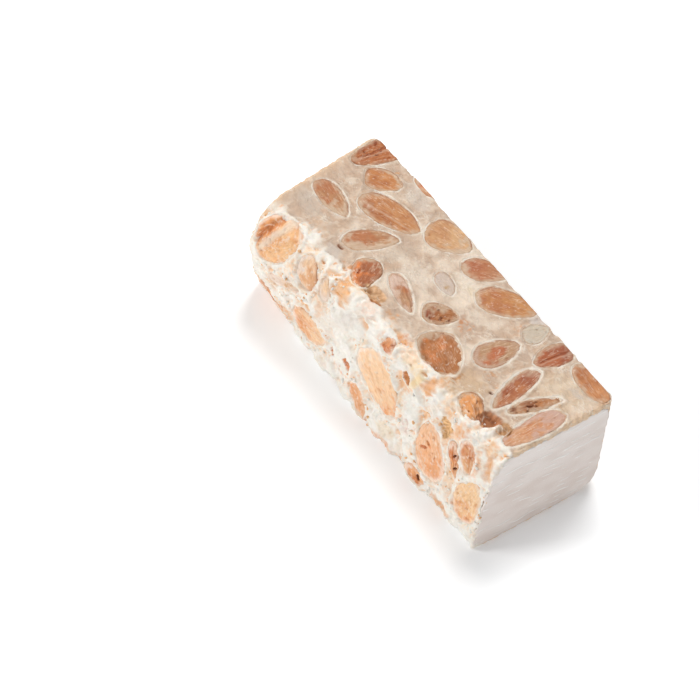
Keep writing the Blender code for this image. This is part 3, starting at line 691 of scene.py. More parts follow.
def nearest_almond(points):
    """For points of the bar: how far outside the nearest almond each lies, the way away from it, and which
    almond it is."""
    distance = np.full(len(points), 9.0)
    way = np.zeros((len(points), 3))
    which = np.full(len(points), -1)
    for number, almond in enumerate(almonds):
        reach = np.linalg.norm(points - almond.middle, axis=-1) < almond.half.max() * 1.3 + 3
        there = np.flatnonzero(reach)
        far, away = almond.distance(points[there])
        closer = far < distance[there]
        distance[there[closer]] = far[closer]
        way[there[closer]] = away[closer]
        which[there[closer]] = number
    return distance, way, which


def of_nearest(which, quality):
    """A quality of the nearest almond at each point, and 0 where there is none near."""
    return np.array([almond.look[quality] for almond in almonds] + [0.0])[which]


# ---------------------------------------------------------------- relief and colour of the nougat


def on_face(points, face, along, up, width, height, turn, seed, raggedness=0.25):
    """How far out in an uneven oval on a face points lie: 0 at its middle and 1 at its rim. Points deep
    under the face or on the other side count as far outside."""
    right, upward, out = face_directions(face)
    own = points - place_on(face, along, up)
    across, over = own @ right, own @ upward
    turned = radians(turn)
    first = (across * cos(turned) + over * sin(turned)) / (width / 2)
    second = (over * cos(turned) - across * sin(turned)) / (height / 2)
    size = np.hypot(first, second) * (1 + raggedness * noise(points / 1.6, seed))
    return np.where(np.abs(own @ out) < 3.5, size, 9.0)


# stains and smears, and the bands of painted shade listed with them
def smeared(points, colours, strengths=1.0):
    """The colours with each smear mixed in, the bands of painted shade among them. A broken smear shows only
    on the crests of noise.
    """
    for face, rows in SMEARS_AND_SHADES.items():
        for n, (along, up, width, height, turn, colour, strength, broken) in enumerate(rows):
            size = on_face(points, face, along, up, width, height, turn, 40 + n, 0.5)
            near = size < 1.6
            share = smoothstep(1.25, 0.55, size[near])
            crumbs = smoothstep(-0.1, 0.35, layers(points[near] / 1.1, 2, 60 + n))
            share = share * strength * (1 - broken + broken * crumbs)
            colours[near] = blend(colours[near], linear(colour), share)
    return colours


def hollowed(points):
    """How deep the holes are at points of the bar: each is a bowl with an uneven rim and floor."""
    depth = 0
    for face, rows in HOLES.items():
        for n, (along, up, width, height, turn, deepest, _) in enumerate(rows):
            size = on_face(points, face, along, up, width, height, turn, 120 + n)
            bowl = 1 - np.minimum(size, 1) ** 2
            depth = depth + deepest * bowl * (1 + 0.35 * layers(points / 1.3, 2, 125 + n))
    return depth


def hole_tone_and_shade(points, colours):
    """The colours with each hole's colour mixed in, partly its own tone and partly painted shade, unevenly
    lighter and darker, and redder where darker as warm painted shade.
    """
    for face, rows in HOLES.items():
        for n, (along, up, width, height, turn, _, colour) in enumerate(rows):
            size = on_face(points, face, along, up, width, height, turn, 120 + n)
            # painted shade: each hole gets its colour, darker and redder in places
            uneven = np.clip(1 + 0.5 * layers(points / (1.0, 1.0, 0.6), 3, 128), 0.6, 1.3)[:, None]
            colours = blend(colours, linear(colour) * uneven ** (1.0, 1.3, 1.6), smoothstep(1.05, 0.9, size))
    return colours


def warped(points, size, reach, seed):
    """Points moved about by noise, so that what is made from them flows."""
    moves = [noise(points / size, seed + n) for n in range(3)]
    return points + reach * np.stack(moves, -1)


def nougat_relief(points, bar_points, torn, gap):
    """Heights of the nougat over the straight box, in mm; how deep in a pore each point is; how far up on a
    strand; and how far up on a crease, or on a thread where it is torn.

    The cut sides wave a little and carry knife marks. The torn side has broad lumps, folds, ledges where
    noise is stepped, grit, threads and pores, and its highest places are flattened. Strands are crests that
    follow the almonds' outlines: the sine of the distance to the nearest one, shifted by noise, sharpened."""
    knife = bar_points @ np.array([[0.10, 0.5, 0], [0.05, -0.9, 0], [0, 0, 1.0]]).T
    creases = ridges(warped(bar_points, 4.0, 1.5, 2) / 4.5, 3, 4)
    cut = -0.5 + 0.3 * layers(points / 6, 2, 1) + 0.45 * (creases - 0.4) + 0.05 * ridges(knife, 2, 6) \
        + 0.1 * layers(bar_points / 1.5, 2, 7)
    turns = np.minimum(gap, 6) / 1.7 + 1.1 * layers(bar_points / 4.0, 2, 36)
    strand = (1 - np.abs(np.sin(pi * turns))) ** 2 * smoothstep(-0.2, 0.3, layers(bar_points / 5.0, 2, 39))
    flow = warped(bar_points, 5.0, 2.2, 8)
    lumps = layers(flow / 8.5, 2, 11)
    folds = ridges(flow @ np.array([[0.18, 0, -0.08], [0, 0.16, 0], [0.04, 0, 0.09]]).T, 2, 15)
    steps = 1.8 * layers(flow / 6.0, 2, 18)
    ledges = np.floor(steps) + smoothstep(0.8, 0.98, steps - np.floor(steps))
    pore, pick = cells(warped(bar_points, 2.0, 0.9, 27) / 3.0, 30)
    pores = smoothstep(0.28, 0.12, pore) * (pick > 0.72)
    gritty = smoothstep(0.0, 0.45, layers(bar_points / 5.0, 2, 24))
    threads = ridges(warped(bar_points, 2.5, 1.2, 41) / 2.6, 2, 44)
    grit = (0.03 + 0.22 * gritty) * layers(bar_points / 1.3, 3, 34)
    rough = -0.45 + 1.2 * lumps + 0.5 * layers(flow / 2.8, 2, 12) + 1.4 * (folds - 0.35) \
        + 0.35 * ledges + 0.3 * strand - 1.1 * pores + grit + 0.25 * (threads - 0.45)
    rough = np.where(rough > 0, 0.6 * np.tanh(rough / 0.6), rough)
    creases = creases * (1 - torn) + smoothstep(0.45, 0.8, threads) * torn
    return (np.minimum(cut + 0.16 * strand, 0) * (1 - torn) + rough * torn), pores * torn, strand, creases


def nougat_colours(points, bar_points, torn, height, gap, which, pores, crests):
    """Colours of the nougat. The cut sides are beige with cream, grey and tan clouds, palest in the middle of
    the bar; the torn side is white, creamier where it is glassy, stained and flecked by almond, and deeper in
    its hollows as painted shade. The nougat next to some almonds is paler, strands and crests are paler,
    partly of their own and partly as painted highlight, pores are deeper in colour as painted shade, and the
    edges of the ends are a yellower crust."""
    flow = warped(bar_points, 5.0, 2.0, 70)
    cloud = layers(flow / 7.5, 2, 73)
    cut = np.broadcast_to(linear(NOUGAT_TOP), bar_points.shape)
    cut = blend(cut, linear(NOUGAT_CREAM), smoothstep(0.0, 0.5, cloud) * 0.8)
    cut = blend(cut, linear(NOUGAT_GREY), smoothstep(-0.05, -0.5, cloud) * 0.4)
    cut = blend(cut, linear(NOUGAT_TAN), smoothstep(0.05, 0.55, layers(flow / 4.6, 2, 79)) * 0.25)
    # the middle of the bar is paler, and strands and crests are paler too, partly their own cream and partly
    # painted highlight
    middle = np.exp(-(((points[:, 0] + 2) / 20) ** 2))
    paler = np.maximum(crests * 0.5, middle * smoothstep(-0.4, 0.3, cloud) * 0.7)
    cut = blend(cut, linear(NOUGAT_CREAM), paler)
    cut = cut * (1 + 0.05 * layers(bar_points / 1.4, 3, 80))[:, None]
    rough = np.broadcast_to(linear(NOUGAT_WHITE), bar_points.shape)
    rough = blend(rough, linear(NOUGAT_GLASSY), smoothstep(0.08, 0.32, layers(flow / 6.0, 2, 82)) * 0.6)
    stain = smoothstep(3.6, 0.3, gap) * smoothstep(0.0, 0.25, layers(flow / 3.6, 3, 85))
    rough = blend(rough, linear(NOUGAT_PEACH), stain * 0.7)
    flecks = smoothstep(0.2, 0.45, layers(warped(bar_points, 2.2, 1.0, 86) / 3.0, 2, 87))
    flecks = flecks * smoothstep(2.4, 0.4, gap)
    rough = blend(rough, linear(CRUMB_ORANGE), flecks * 0.5)
    # painted shade: the torn side's hollows are tinted a deeper, warmer colour
    rough = blend(rough, linear(HOLLOW_SHADE_AND_ALMOND_CRUMB), smoothstep(-0.6, -1.5, height) * 0.85)
    # the crests of strands and threads are whiter, partly their own white and partly painted highlight
    rough = blend(rough, linear(NOUGAT_WHITE), crests * 0.85)
    colours = blend(cut, rough, torn_share(points, 2.0))
    crumb, pick = cells(warped(bar_points, 1.5, 0.9, 88) / 2.2, 91)
    share = smoothstep(0.3, 0.2, crumb) * (pick > 0.9 - 0.04 * torn)
    colours = blend(colours, linear(CRUMB_ORANGE), share * (0.5 + 0.3 * torn))
    colours = smeared(bar_points, colours)
    from_end = HALF_LENGTH - np.abs(points[:, 0]) + 0.6 * noise(bar_points / 1.2, 94)
    crust = smoothstep(1.5, 0.3, from_end) * 0.5 + smoothstep(4.5, 0.5, from_end) * 0.3
    colours = blend(colours, linear(NOUGAT_CRUST), crust * (1 - 0.9 * torn))
    lip_white = of_nearest(which, "lip_white")
    pale = blend(np.broadcast_to(linear(NOUGAT_CREAM), cut.shape), linear(NOUGAT_WHITE), 0.25 + 0.75 * torn)
    patchy = smoothstep(-0.25, 0.25, layers(bar_points / 3.2, 3, 97) + 0.9 * (lip_white - 0.5))
    colours = blend(colours, pale, lip_white * smoothstep(1.0, 0.3, gap) * (0.05 + 0.95 * patchy) * 0.9)
    # painted shade: the pores are tinted the same deeper colour
    colours = blend(colours, linear(HOLLOW_SHADE_AND_ALMOND_CRUMB), pores * 0.8)
    return hole_tone_and_shade(bar_points, colours)


# ---------------------------------------------------------------- meshes


def add_piece(name, points, faces, material, colours=None, vectors=None, torn=None, rims=None):
    """A smooth mesh object from points of the bar in mm. Its attributes are its colours, each point's place
    in its almond, how torn or rough it is, and how far it lies from an almond's rim in mm. The middle of the
    bar's box in plan goes over the origin, and no point leaves that box."""
    low, high = (np.array(corner) / MM for corner in cad_box)
    mesh = bpy.data.meshes.new(name)
    mesh.from_pydata(np.clip(points.reshape(-1, 3) - BOX_MIDDLE, low, high) * MM, [], faces)
    for label, kind, field, data in (
        ("tint", "FLOAT_COLOR", "color", colours),
        ("grain", "FLOAT_VECTOR", "vector", vectors),
        ("torn", "FLOAT", "value", torn),
        ("rim", "FLOAT", "value", rims),
    ):
        if data is not None:
            if kind == "FLOAT_COLOR":
                data = np.concatenate([data, np.ones((len(data), 1))], -1)
            attribute = mesh.attributes.new(label, kind, "POINT")
            attribute.data.foreach_set(field, np.ascontiguousarray(data, np.float32).ravel())
    mesh.polygons.foreach_set("use_smooth", np.ones(len(mesh.polygons), bool))
    mesh.materials.append(material)
    mesh.update()
    made = bpy.data.objects.new(name, mesh)
    bpy.context.scene.collection.objects.link(made)
    return made


def tube_faces(rows, around):
    """Faces of a closed form made of a pole, rows of points around it, and another pole. The poles are the
    last two points; the first pole closes row 0."""
    grid = np.arange(rows * around).reshape(rows, around)
    after = np.roll(grid, -1, axis=1)
    quads = np.stack([grid[:-1], after[:-1], after[1:], grid[1:]], -1).reshape(-1, 4)
    first, last = rows * around, rows * around + 1
    start = np.stack([np.full(around, first), after[0], grid[0]], -1)
    end = np.stack([np.full(around, last), grid[-1], after[-1]], -1)
    return quads.tolist() + start.tolist() + end.tolist()


def outward(grid):
    """Unit normals of a grid of points that closes on itself along its rows."""
    around = np.roll(grid, -1, axis=1) - np.roll(grid, 1, axis=1)
    along = np.gradient(grid, axis=0)
    normal = np.cross(along, around)
    return normal / (np.linalg.norm(normal, axis=-1, keepdims=True) + 1e-12)


def nougat_piece(material):
    """The nougat, and places on its torn side for crumbs. It is rings round the straight box from end to end,
    closed over each end. Points near an almond's rim move onto it, the nougat dips under each almond, and the
    relief moves points along their normals."""
    steps = END_REACH * (1 - np.cos(np.linspace(0, pi / 2, END_STEPS)))
    middle = np.linspace(-HALF_LENGTH + END_REACH, HALF_LENGTH - END_REACH, MIDDLE_STEPS + 1)[1:-1]
    x = np.concatenate([-HALF_LENGTH + steps, middle, (HALF_LENGTH - steps)[::-1]])
    closing = np.array(CAP_SCALES)
    ends = np.full(len(closing), HALF_LENGTH)
    x = np.concatenate([-ends, x, ends])
    scale = np.concatenate([closing[::-1], np.ones(len(x) - 2 * len(closing)), closing])
    grid = section_points(x, scale)
    normal = outward(grid).reshape(-1, 3)
    rows, around = grid.shape[:2]
    points = grid.reshape(-1, 3)

    bar_points = slant(points)
    gap, way, which = nearest_almond(bar_points)
    level = way - normal * np.sum(way * normal, axis=-1, keepdims=True)
    steepness = np.sum(level * level, axis=-1)
    on_rim = (np.abs(gap) < 0.2) & (steepness > 0.3)
    move = np.where(on_rim, -gap / np.maximum(steepness, 0.3), 0)
    points = points + level * move[:, None]
    bar_points = slant(points)
    gap, way, which = nearest_almond(bar_points)

    torn = torn_share(points)
    height, pores, strand, creases = nougat_relief(points, bar_points, torn, gap)
    # near an almond the relief calms, and an uneven lip stands round it
    calm = -0.3 + 0.1 * torn + 0.25 * torn * layers(bar_points / 3.0, 2, 111)
    height = height + (calm - height) * smoothstep(1.4, 0.1, gap) * (0.75 - 0.25 * torn)
    lip = of_nearest(which, "lip") * (1.0 + 1.0 * layers(bar_points / 2.6, 2, 114))
    height = height + lip * np.exp(-(((gap - 0.35) / 0.5) ** 2))
    # it covers an almond's rim unevenly, and dips away under the rest of it
    ragged = (0.35 + 0.6 * torn) * layers(bar_points / 1.7, 3, 117) + 0.15 - 0.2 * torn
    height = height - np.minimum(0.9 * np.minimum(gap + ragged, 0) ** 2, 1.8)
    height = height - hollowed(bar_points)
    shown_height = np.where(gap < 0, 0, height)

    # the ends stand back behind their wafers, and come forward round them
    past = wafer_reach(points)
    crust = 0.06 + 0.3 * smoothstep(-0.6, 0.6, layers(points / 1.3, 2, 131))
    back = BEHIND_WAFER + (crust - BEHIND_WAFER) * smoothstep(-0.95, -0.4, past)
    near_end = smoothstep(END_REACH, 0.0, HALF_LENGTH - np.abs(points[:, 0]))
    end_face = np.abs(normal[:, 0]) > 0.9
    points = points + normal * np.where(end_face, 0, height)[:, None]
    points[:, 0] -= np.sign(points[:, 0]) * back * near_end

    # strands and crests, to be painted paler: partly their own cream and partly painted highlight
    crests = np.maximum(strand, smoothstep(0.62, 0.85, creases))
    colours = nougat_colours(points, bar_points, torn, shown_height, np.maximum(gap, 0), which, pores, crests)
    pole = HALF_LENGTH - BEHIND_WAFER
    poles = slant(np.array([[-pole, 0, HEIGHT / 2], [pole, 0, HEIGHT / 2]]))
    loose = np.flatnonzero((torn > 0.6) & (gap > 0.4) & (gap < 2.5) & ~end_face & (points[:, 2] < HEIGHT - 1))
    picked = np.random.default_rng(21).choice(loose, CRUMBS, replace=False)
    made = add_piece(
        "nougat_body",
        np.concatenate([slant(points), poles]),
        tube_faces(rows, around),
        material,
        colours=np.concatenate([colours, linear([NOUGAT_TOP] * 2)]),
        torn=np.concatenate([torn, [0, 0]]),
        rims=np.concatenate([np.clip(gap, -1, 6), [6, 6]]),
    )
    return made, slant(points)[picked]


def crumbs_piece(places, material):
    """Crumbs that cling to the torn side: small balls of random size and stretch, turned at random and made
    lumpy by noise, some of nougat and some of almond, all in one mesh."""
    random = np.random.default_rng(22)
    polar = np.linspace(0, pi, CRUMB_ROWS + 2)[1:-1]
    turn = np.linspace(0, 2 * pi, CRUMB_SIDES, endpoint=False)
    ball = np.concatenate([sphere(polar, turn).reshape(-1, 3), [(0, 0, 1), (0, 0, -1)]])
    count = len(places)
    size = 0.14 + 0.34 * random.random((count, 1, 1)) ** 2
    stretch = 0.7 + 0.7 * random.random((count, 1, 3))
    axes = np.linalg.qr(random.normal(size=(count, 3, 3)))[0]
    axes[:, 0] *= np.sign(np.linalg.det(axes))[:, None]
    own = ball * (1 + 0.35 * noise(ball * 1.7 + 9.0 * np.arange(count)[:, None, None], 161))[..., None]
    points = places[:, None] + (own * stretch * size) @ axes
    faces = [
        tuple(corner + n * len(ball) for corner in face)
        for n in range(count)
        for face in tube_faces(CRUMB_ROWS, CRUMB_SIDES)
    ]
    almond = random.random(count) < 0.3
    colour = np.where(almond[:, None], linear(HOLLOW_SHADE_AND_ALMOND_CRUMB), linear(NOUGAT_WHITE))
    colour = colour * (0.85 + 0.25 * random.random((count, 1)))
    total = count * len(ball)
    return add_piece(
        "clinging_crumbs", points, faces, material, colours=np.repeat(colour, len(ball), axis=0),
        torn=np.ones(total), rims=np.full(total, 6.0),
    )


def almond_piece(almond, material):
    """One almond: the part of its ball that stands out of the bar is laid onto the bar's surface, raised or
    dished, with a split, rings, fibres and pits worked into it."""
    look = almond.look
    around, over, under = FINE_STEPS if almond.face in FINE_FACES else PLAIN_STEPS
    grid = almond.ball(around, over, under)
    points = straighten(grid.reshape(-1, 3))
    points[:, 0] = np.clip(points[:, 0], -HALF_LENGTH + ALMOND_FROM_END, HALF_LENGTH - ALMOND_FROM_END)
    excess, way = outside(points)
    points = points - way * np.maximum(excess, 0)[:, None]
    own = almond.inside(slant(points))
    place = own * almond.half
    t, a = own[:, 0], own[:, 1]
    size = np.sqrt(np.sum(own**2, axis=-1))
    shows = smoothstep(-0.3, 0.05, excess)

    torn = torn_share(points)
    seed = almond.seed
    # how far in from the almond's rim, in mm
    ways = own / np.maximum(size, 1e-6)[:, None]
    inward = (almond.outline(ways) - size) * almond.half[1]
    fibre = layers(warped(place, 3.0, 0.5, seed) * (0.16, 1.3, 1.3), 3, seed)
    blotch = layers(place / 3.3, 2, seed + 3)
    nick = layers(warped(place, 2.0, 0.8, seed + 4) / (1.9, 1.2, 1.2), 3, seed + 5)
    pits = smoothstep(0.66 - 0.75 * look["pits"], 1.0 - 0.65 * look["pits"], nick)
    lumpy = 0.34 * blotch + 0.16 * layers(place / 1.2, 2, seed + 8)
    height = look["proud"] - 0.1 * torn - look["dish"] * smoothstep(0.0, 2.2, inward) \
        + 0.08 * look["grain"] * fibre + look["rough"] * lumpy \
        - (0.15 + 0.45 * look["rough"]) * pits - 0.12 - (0.06 + 0.3 * torn) * smoothstep(0.9, 0.0, inward)
    split = np.zeros(len(points))
    ridge = split
    if look["split"]:
        across, strength = look["split"]
        line = a - across - 0.09 * layers(place / 3.5, 2, seed + 9)
        wide = 0.06 + 0.12 * look["groove"]
        from_tips = smoothstep(0.9, 0.6, np.abs(t))
        split = strength * smoothstep(wide, 0.3 * wide, np.abs(line)) * from_tips
        ridge = look["groove"] * smoothstep(1.3 * wide, 0.2 * wide, np.abs(line - 2.0 * wide)) * from_tips
        height = height - look["groove"] * split + 0.3 * ridge
    waves = np.sin(inward * 4.2 + 2.4 * layers(place / 4.0, 2, seed + 21))
    ringed = smoothstep(0.2, 0.5, layers(place / 4.0, 2, seed + 25) + 0.6 * t)
    rings = look["rings"] * smoothstep(0.8, 0.97, waves) * smoothstep(0.9, 1.6, inward) * ringed
    height = height + 0.08 * rings - hollowed(slant(points))
    points = points + way * (np.minimum(height, 0.45) * shows)[:, None]

    def side(angle):
        return (t * cos(radians(angle)) + a * sin(radians(angle))) / np.maximum(np.hypot(t, a), 0.2)

    colours = np.broadcast_to(linear(look["flesh"]), place.shape)
    deeper = 0.75 * blotch + 0.65 * side(look["deep_from"]) * np.hypot(t, a) \
        + (look["deep_share"] - 0.5) * 1.2 + look["heart"] * np.maximum(0.55 - np.hypot(t, a), 0)
    colours = blend(colours, linear(look["deep"]), smoothstep(-0.4, 0.5, deeper) * 0.85)
    shade = 1 + 0.2 * look["grain"] * fibre + (0.16 - 0.07 * torn) * layers(place / 0.9, 2, seed + 12)
    colours = colours * shade[:, None] ** (0.7, 1.1, 1.4)
    streak = ridges(warped(place, 3.0, 0.4, seed + 22) * (0.13, 0.9, 0.9), 2, seed + 23)
    colours = blend(colours, linear(NOUGAT_CREAM), smoothstep(0.62, 0.9, streak) * look["scratches"])
    leaning = t * cos(radians(look["film_from"])) + a * sin(radians(look["film_from"]))
    patchy = layers(warped(place, 2.4, 0.8, seed) / 2.4, 3, seed + 11)
    film = 0.55 * patchy + 0.75 * leaning + 1.9 * (look["film"] - 0.5) + 0.45 * smoothstep(1.3, 0.2, inward)
    colours = blend(colours, linear(look["film_colour"]), smoothstep(-0.25, 0.35, film) * 0.8)
    uneven = layers(place / 1.8, 2, seed + 16)
    rim = smoothstep(0.6, 0.2, inward) * smoothstep(0.0, 0.7, side(look["edge_from"]) + 0.8 * uneven)
    colours = blend(colours, linear(look["edge"]), rim * 0.75)
    away = smoothstep(0.5, -0.4, side(look["edge_from"]))
    faded = smoothstep(1.5, 0.0, inward + 0.8 * uneven) * (0.25 + 0.75 * away)
    colours = blend(colours, linear(look["film_colour"]), faded * 0.75)
    # the pits and the split are darker, the split partly of its own and partly as painted shade in its
    # groove; the ridge beside a groove is paler as a painted highlight, and the rings are pale of their own
    dark = np.maximum(pits * (0.25 + 0.25 * look["rough"]), np.maximum(split, 0) * 0.5)
    colours = blend(colours, linear(look["deep"]) * (0.72, 0.52, 0.4), dark)
    colours = blend(colours, linear(NOUGAT_CREAM), np.maximum(rings * 0.6, ridge * 0.75))
    speckle = layers(place / (0.8 + 0.2 * torn[:, None]), 3, seed + 14)
    specks = smoothstep(0.62 - 0.4 * look["specks"], 0.85 - 0.3 * look["specks"], speckle + 0.25 * torn)
    colours = blend(colours, linear(NOUGAT_PINK), specks * (0.4 + 0.25 * torn))
    colours = hole_tone_and_shade(slant(points), colours)

    rows = len(grid)
    points = slant(points)
    keep = slice(around, (rows - 1) * around)
    poles = [0, (rows - 1) * around]
    order = np.concatenate([np.arange(len(points))[keep], poles])
    return add_piece(
        almond.node.replace("almond", "nut"),
        points[order],
        tube_faces(rows - 2, around),
        material,
        colours=colours[order],
        vectors=place[order] * MM,
        torn=np.full(len(order), look["rough"]),
        rims=np.clip(inward, -1, 6)[order],
    )


def wafer_piece(end, material):
    """A wafer sheet: its ragged outline filled by rings drawn in to its middle, outer face, edge and inner
    face as one closed skin. The outer face carries low pressed lines."""
    around = WAFER_SIDES
    turn = np.linspace(0, 2 * pi, around, endpoint=False)
    sign = 1 if end == "near" else -1
    middle = np.array([sign, 0.0, HEIGHT / 2])
    ways = np.stack([np.zeros(around), np.cos(turn), np.sin(turn)], -1)
    near, far = np.zeros(around), np.full(around, PAST_WAFER)
    for _ in range(30):  # halve in on the outline along each way
        half = (near + far) / 2
        out = wafer_reach(middle + ways * half[:, None]) > 0
        near, far = np.where(out, near, half), np.where(out, half, far)
    scale = np.linspace(0, 1, WAFER_RINGS + 1)[1:] ** 0.8
    outline = ways * near[:, None]
    face = middle + outline * scale[:, None, None]
    emboss = 0.035 * layers(face / 9, 2, 144) - 0.12 * smoothstep(0.97, 1.0, scale)[:, None]
    outer = face.copy()
    outer[..., 0] = sign * (HALF_LENGTH - WAFER_INSET + emboss)
    inner = face[::-1].copy()
    inner[..., 0] = sign * (HALF_LENGTH - WAFER_THICKNESS - WAFER_BACK)
    grid = np.concatenate([outer, inner])
    poles = np.array([middle, middle])
    poles[:, 0] = outer[0, :, 0].mean(), inner[-1, 0, 0]
    points = np.concatenate([grid.reshape(-1, 3), poles])
    shade = layers(points / (1, 9.0, 5.0), 2, 151)
    # the wafer goes grey in broad random clouds, and towards its bottom as painted shade
    grey_and_painted_shade = smoothstep(-0.4, 0.5, shade) * 0.4 + 0.45 * smoothstep(34, 14, points[:, 2])
    colours = blend(np.broadcast_to(linear(WAFER_PALE), points.shape), linear(WAFER_GREY), grey_and_painted_shade)
    faces = tube_faces(len(grid), around)
    if sign < 0:
        faces = [corners[::-1] for corners in faces]
    return add_piece("wafer_sheet_" + end, slant(points), faces, material, colours=colours)


# ---------------------------------------------------------------- materials


class Field:
    """A value that changes over a surface. Arithmetic on it adds Math nodes to its material."""

    def __init__(self, shader, socket):
        self.shader = shader
        self.socket = socket

    def math(self, operation, first, second=0.0):
        return self.shader.node("ShaderNodeMath", {"operation": operation}, {0: first, 1: second})

    def __add__(self, other):
        return self.math("ADD", self, other)

    def __sub__(self, other):
        return self.math("SUBTRACT", self, other)

    def __rsub__(self, other):
        return self.math("SUBTRACT", other, self)

    def __mul__(self, other):
        return self.math("MULTIPLY", self, other)

    def ramp(self, low, high):
        """0 below low and 1 above high."""
        return self.shader.node(
            "ShaderNodeMapRange", {"interpolation_type": "SMOOTHSTEP"}, {0: self, 1: low, 2: high}
        )


class Shader:
    """A material's nodes, around its one Principled shader."""

    def __init__(self, name):
        self.material = bpy.data.materials.new(name)
        self.material.use_nodes = True
        self.tree = self.material.node_tree
        self.principled = self.tree.nodes["Principled BSDF"]

    def node(self, kind, settings=None, sockets=None, output=0):
        """Any node: its settings are set first, then the values or links of its sockets."""
        made = self.tree.nodes.new(kind)
        for name, value in (settings or {}).items():
            setattr(made, name, value)
        for key, value in (sockets or {}).items():
            self.feed(made.inputs[key], value)
        return Field(self, made.outputs[output])

    def feed(self, socket, value):
        if isinstance(value, Field):
            self.tree.links.new(value.socket, socket)
        else:
            socket.default_value = value

    def mix(self, share, first, second, way="MIX"):
        return self.node(
            "ShaderNodeMix", {"data_type": "RGBA", "blend_type": way}, {0: share, 6: first, 7: second}, 2
        )

    def tinted(self, share, colour, tint):
        """A colour on its way to a tint that is written as screen values."""
        return self.mix(share, colour, (*linear(tint), 1.0))

    def shaded(self, colour, shade):
        """A colour times a value."""
        return self.node("ShaderNodeVectorMath", {"operation": "SCALE"}, {0: colour, "Scale": shade})

    def place(self):
        return self.node("ShaderNodeTexCoord", output="Object")

    def attribute(self, name, output="Color"):
        return self.node("ShaderNodeAttribute", {"attribute_name": name}, output=output)

    def stretched(self, vector, scale):
        return self.node("ShaderNodeVectorMath", {"operation": "MULTIPLY"}, {0: vector, 1: scale})

    def noise(self, vector, per_mm, detail=3.0, roughness=0.55):
        sockets = {"Vector": vector, "Scale": per_mm / MM, "Detail": detail, "Roughness": roughness}
        return self.node("ShaderNodeTexNoise", {}, sockets)

    def surface(self, sockets):
        for name, value in sockets.items():
            self.feed(self.principled.inputs[name], value)

    def bump(self, height, distance):
        return self.node("ShaderNodeBump", {}, {"Height": height, "Distance": distance * MM, "Strength": 1.0})


def nougat_material():
    """Nougat: its own tints with a fine mottle, waxy where cut and dry and crumbly where torn."""
    shader = Shader("nougat_finish")
    place = shader.place()
    torn = shader.attribute("torn", "Fac")
    fine = shader.noise(place, 1.6, 5, 0.65)
    grit = shader.noise(place, 5.0, 3, 0.6)
    mottle = fine * 0.26 + 0.87
    colour = shader.shaded(shader.attribute("tint"), mottle)
    # thin pale lines: drawn-out veins on the cut sides, and where it is torn a painted highlight on the
    # crests of small folds
    drawn = shader.noise(shader.stretched(place, (0.55, 1.0, 1.0)), 0.42, 3, 0.55)
    vein = drawn.math("ABSOLUTE", drawn - 0.5).ramp(0.035, 0.0)
    patch = shader.noise(place, 0.25, 2, 0.5)
    colour = shader.tinted(vein * patch.ramp(0.48, 0.62) * 0.45, colour, NOUGAT_VEIN_AND_FOLD_HIGHLIGHT)
    colour = shader.tinted(grit.ramp(0.66, 0.76) * 0.4, colour, NOUGAT_GRIT)
    # and round each almond, where the nougat stands a little proud of it
    near = shader.attribute("rim", "Fac") + shader.noise(place, 0.8, 2, 0.5) * 0.5 - 0.25
    pale = near.ramp(0.55, 0.3) * near.ramp(0.0, 0.08)
    colour = shader.tinted(pale * patch.ramp(0.45, 0.58) * 0.6, colour, NOUGAT_LIP)
    # painted shadow: a thin dark line in the nougat where it meets each almond's rim
    gap = near.ramp(0.1, -0.04) * patch.ramp(0.6, 0.45)
    colour = shader.mix(gap * (0.6 - torn * 0.3), colour, NOUGAT_GAP_SHADOW, "MULTIPLY")
    fold = shader.noise(place, 0.45, 3, 0.5)
    height = fine * (0.45 - torn * 0.15) + grit * 0.2 + vein * (0.15 - torn * 0.1) \
        + pale * (0.3 - torn * 0.2) + fold * torn * 1.3
    shader.surface({
        "Base Color": colour,
        "Roughness": torn * 0.25 + 0.5 + fine * 0.1,
        "Normal": shader.bump(height, 0.5),
        "Specular IOR Level": 0.35,
        "Subsurface Weight": 0.12,
        "Subsurface Radius": (0.0016, 0.0011, 0.0007),
        "Subsurface Scale": 1.0,
    })
    return shader.material


def almond_material():
    """Cut almond: its own tints, with fibres that run along it, small pores and a faint oily sheen."""
    shader = Shader("almond_finish")
    grain = shader.attribute("grain", "Vector")
    torn = shader.attribute("torn", "Fac")
    fibre = shader.noise(shader.stretched(grain, (0.35, 1.6, 1.6)), 1.6, 4, 0.6)
    speck = shader.noise(grain, 3.2, 3, 0.6)
    shade = fibre * 0.2 + speck * 0.16 + 0.83
    colour = shader.shaded(shader.attribute("tint"), shade)
    colour = shader.mix(fibre.ramp(0.55, 0.3) * 0.6, colour, FIBRE_SHADE, "MULTIPLY")
    colour = shader.tinted(speck.ramp(0.68, 0.76) * 0.3, colour, ALMOND_SPECK)
    long = shader.noise(shader.stretched(grain, (0.12, 1.2, 1.2)), 0.9, 3, 0.6)
    vein = long.math("ABSOLUTE", long - 0.5).ramp(0.03, 0.0)
    patch = shader.noise(grain, 0.3, 2, 0.5)
    colour = shader.tinted(vein * patch.ramp(0.42, 0.6) * 0.4, colour, ALMOND_VEIN)
    edge = (shader.attribute("rim", "Fac") + speck * 0.6 - 0.3).ramp(0.34, 0.1)
    colour = shader.mix(edge * patch.ramp(0.62, 0.42) * 0.65, colour, RIM_SHADE, "MULTIPLY")
    height = fibre * 0.5 + speck * (torn * 0.5 + 0.2)
    shader.surface({
        "Base Color": colour,
        "Roughness": torn * 0.2 + 0.42 + fibre * 0.12,
        "Normal": shader.bump(height, 0.3),
        "Specular IOR Level": 0.4,
        "Subsurface Weight": 0.06,
        "Subsurface Radius": (0.0016, 0.0008, 0.0004),
        "Subsurface Scale": 1.0,
    })
    return shader.material


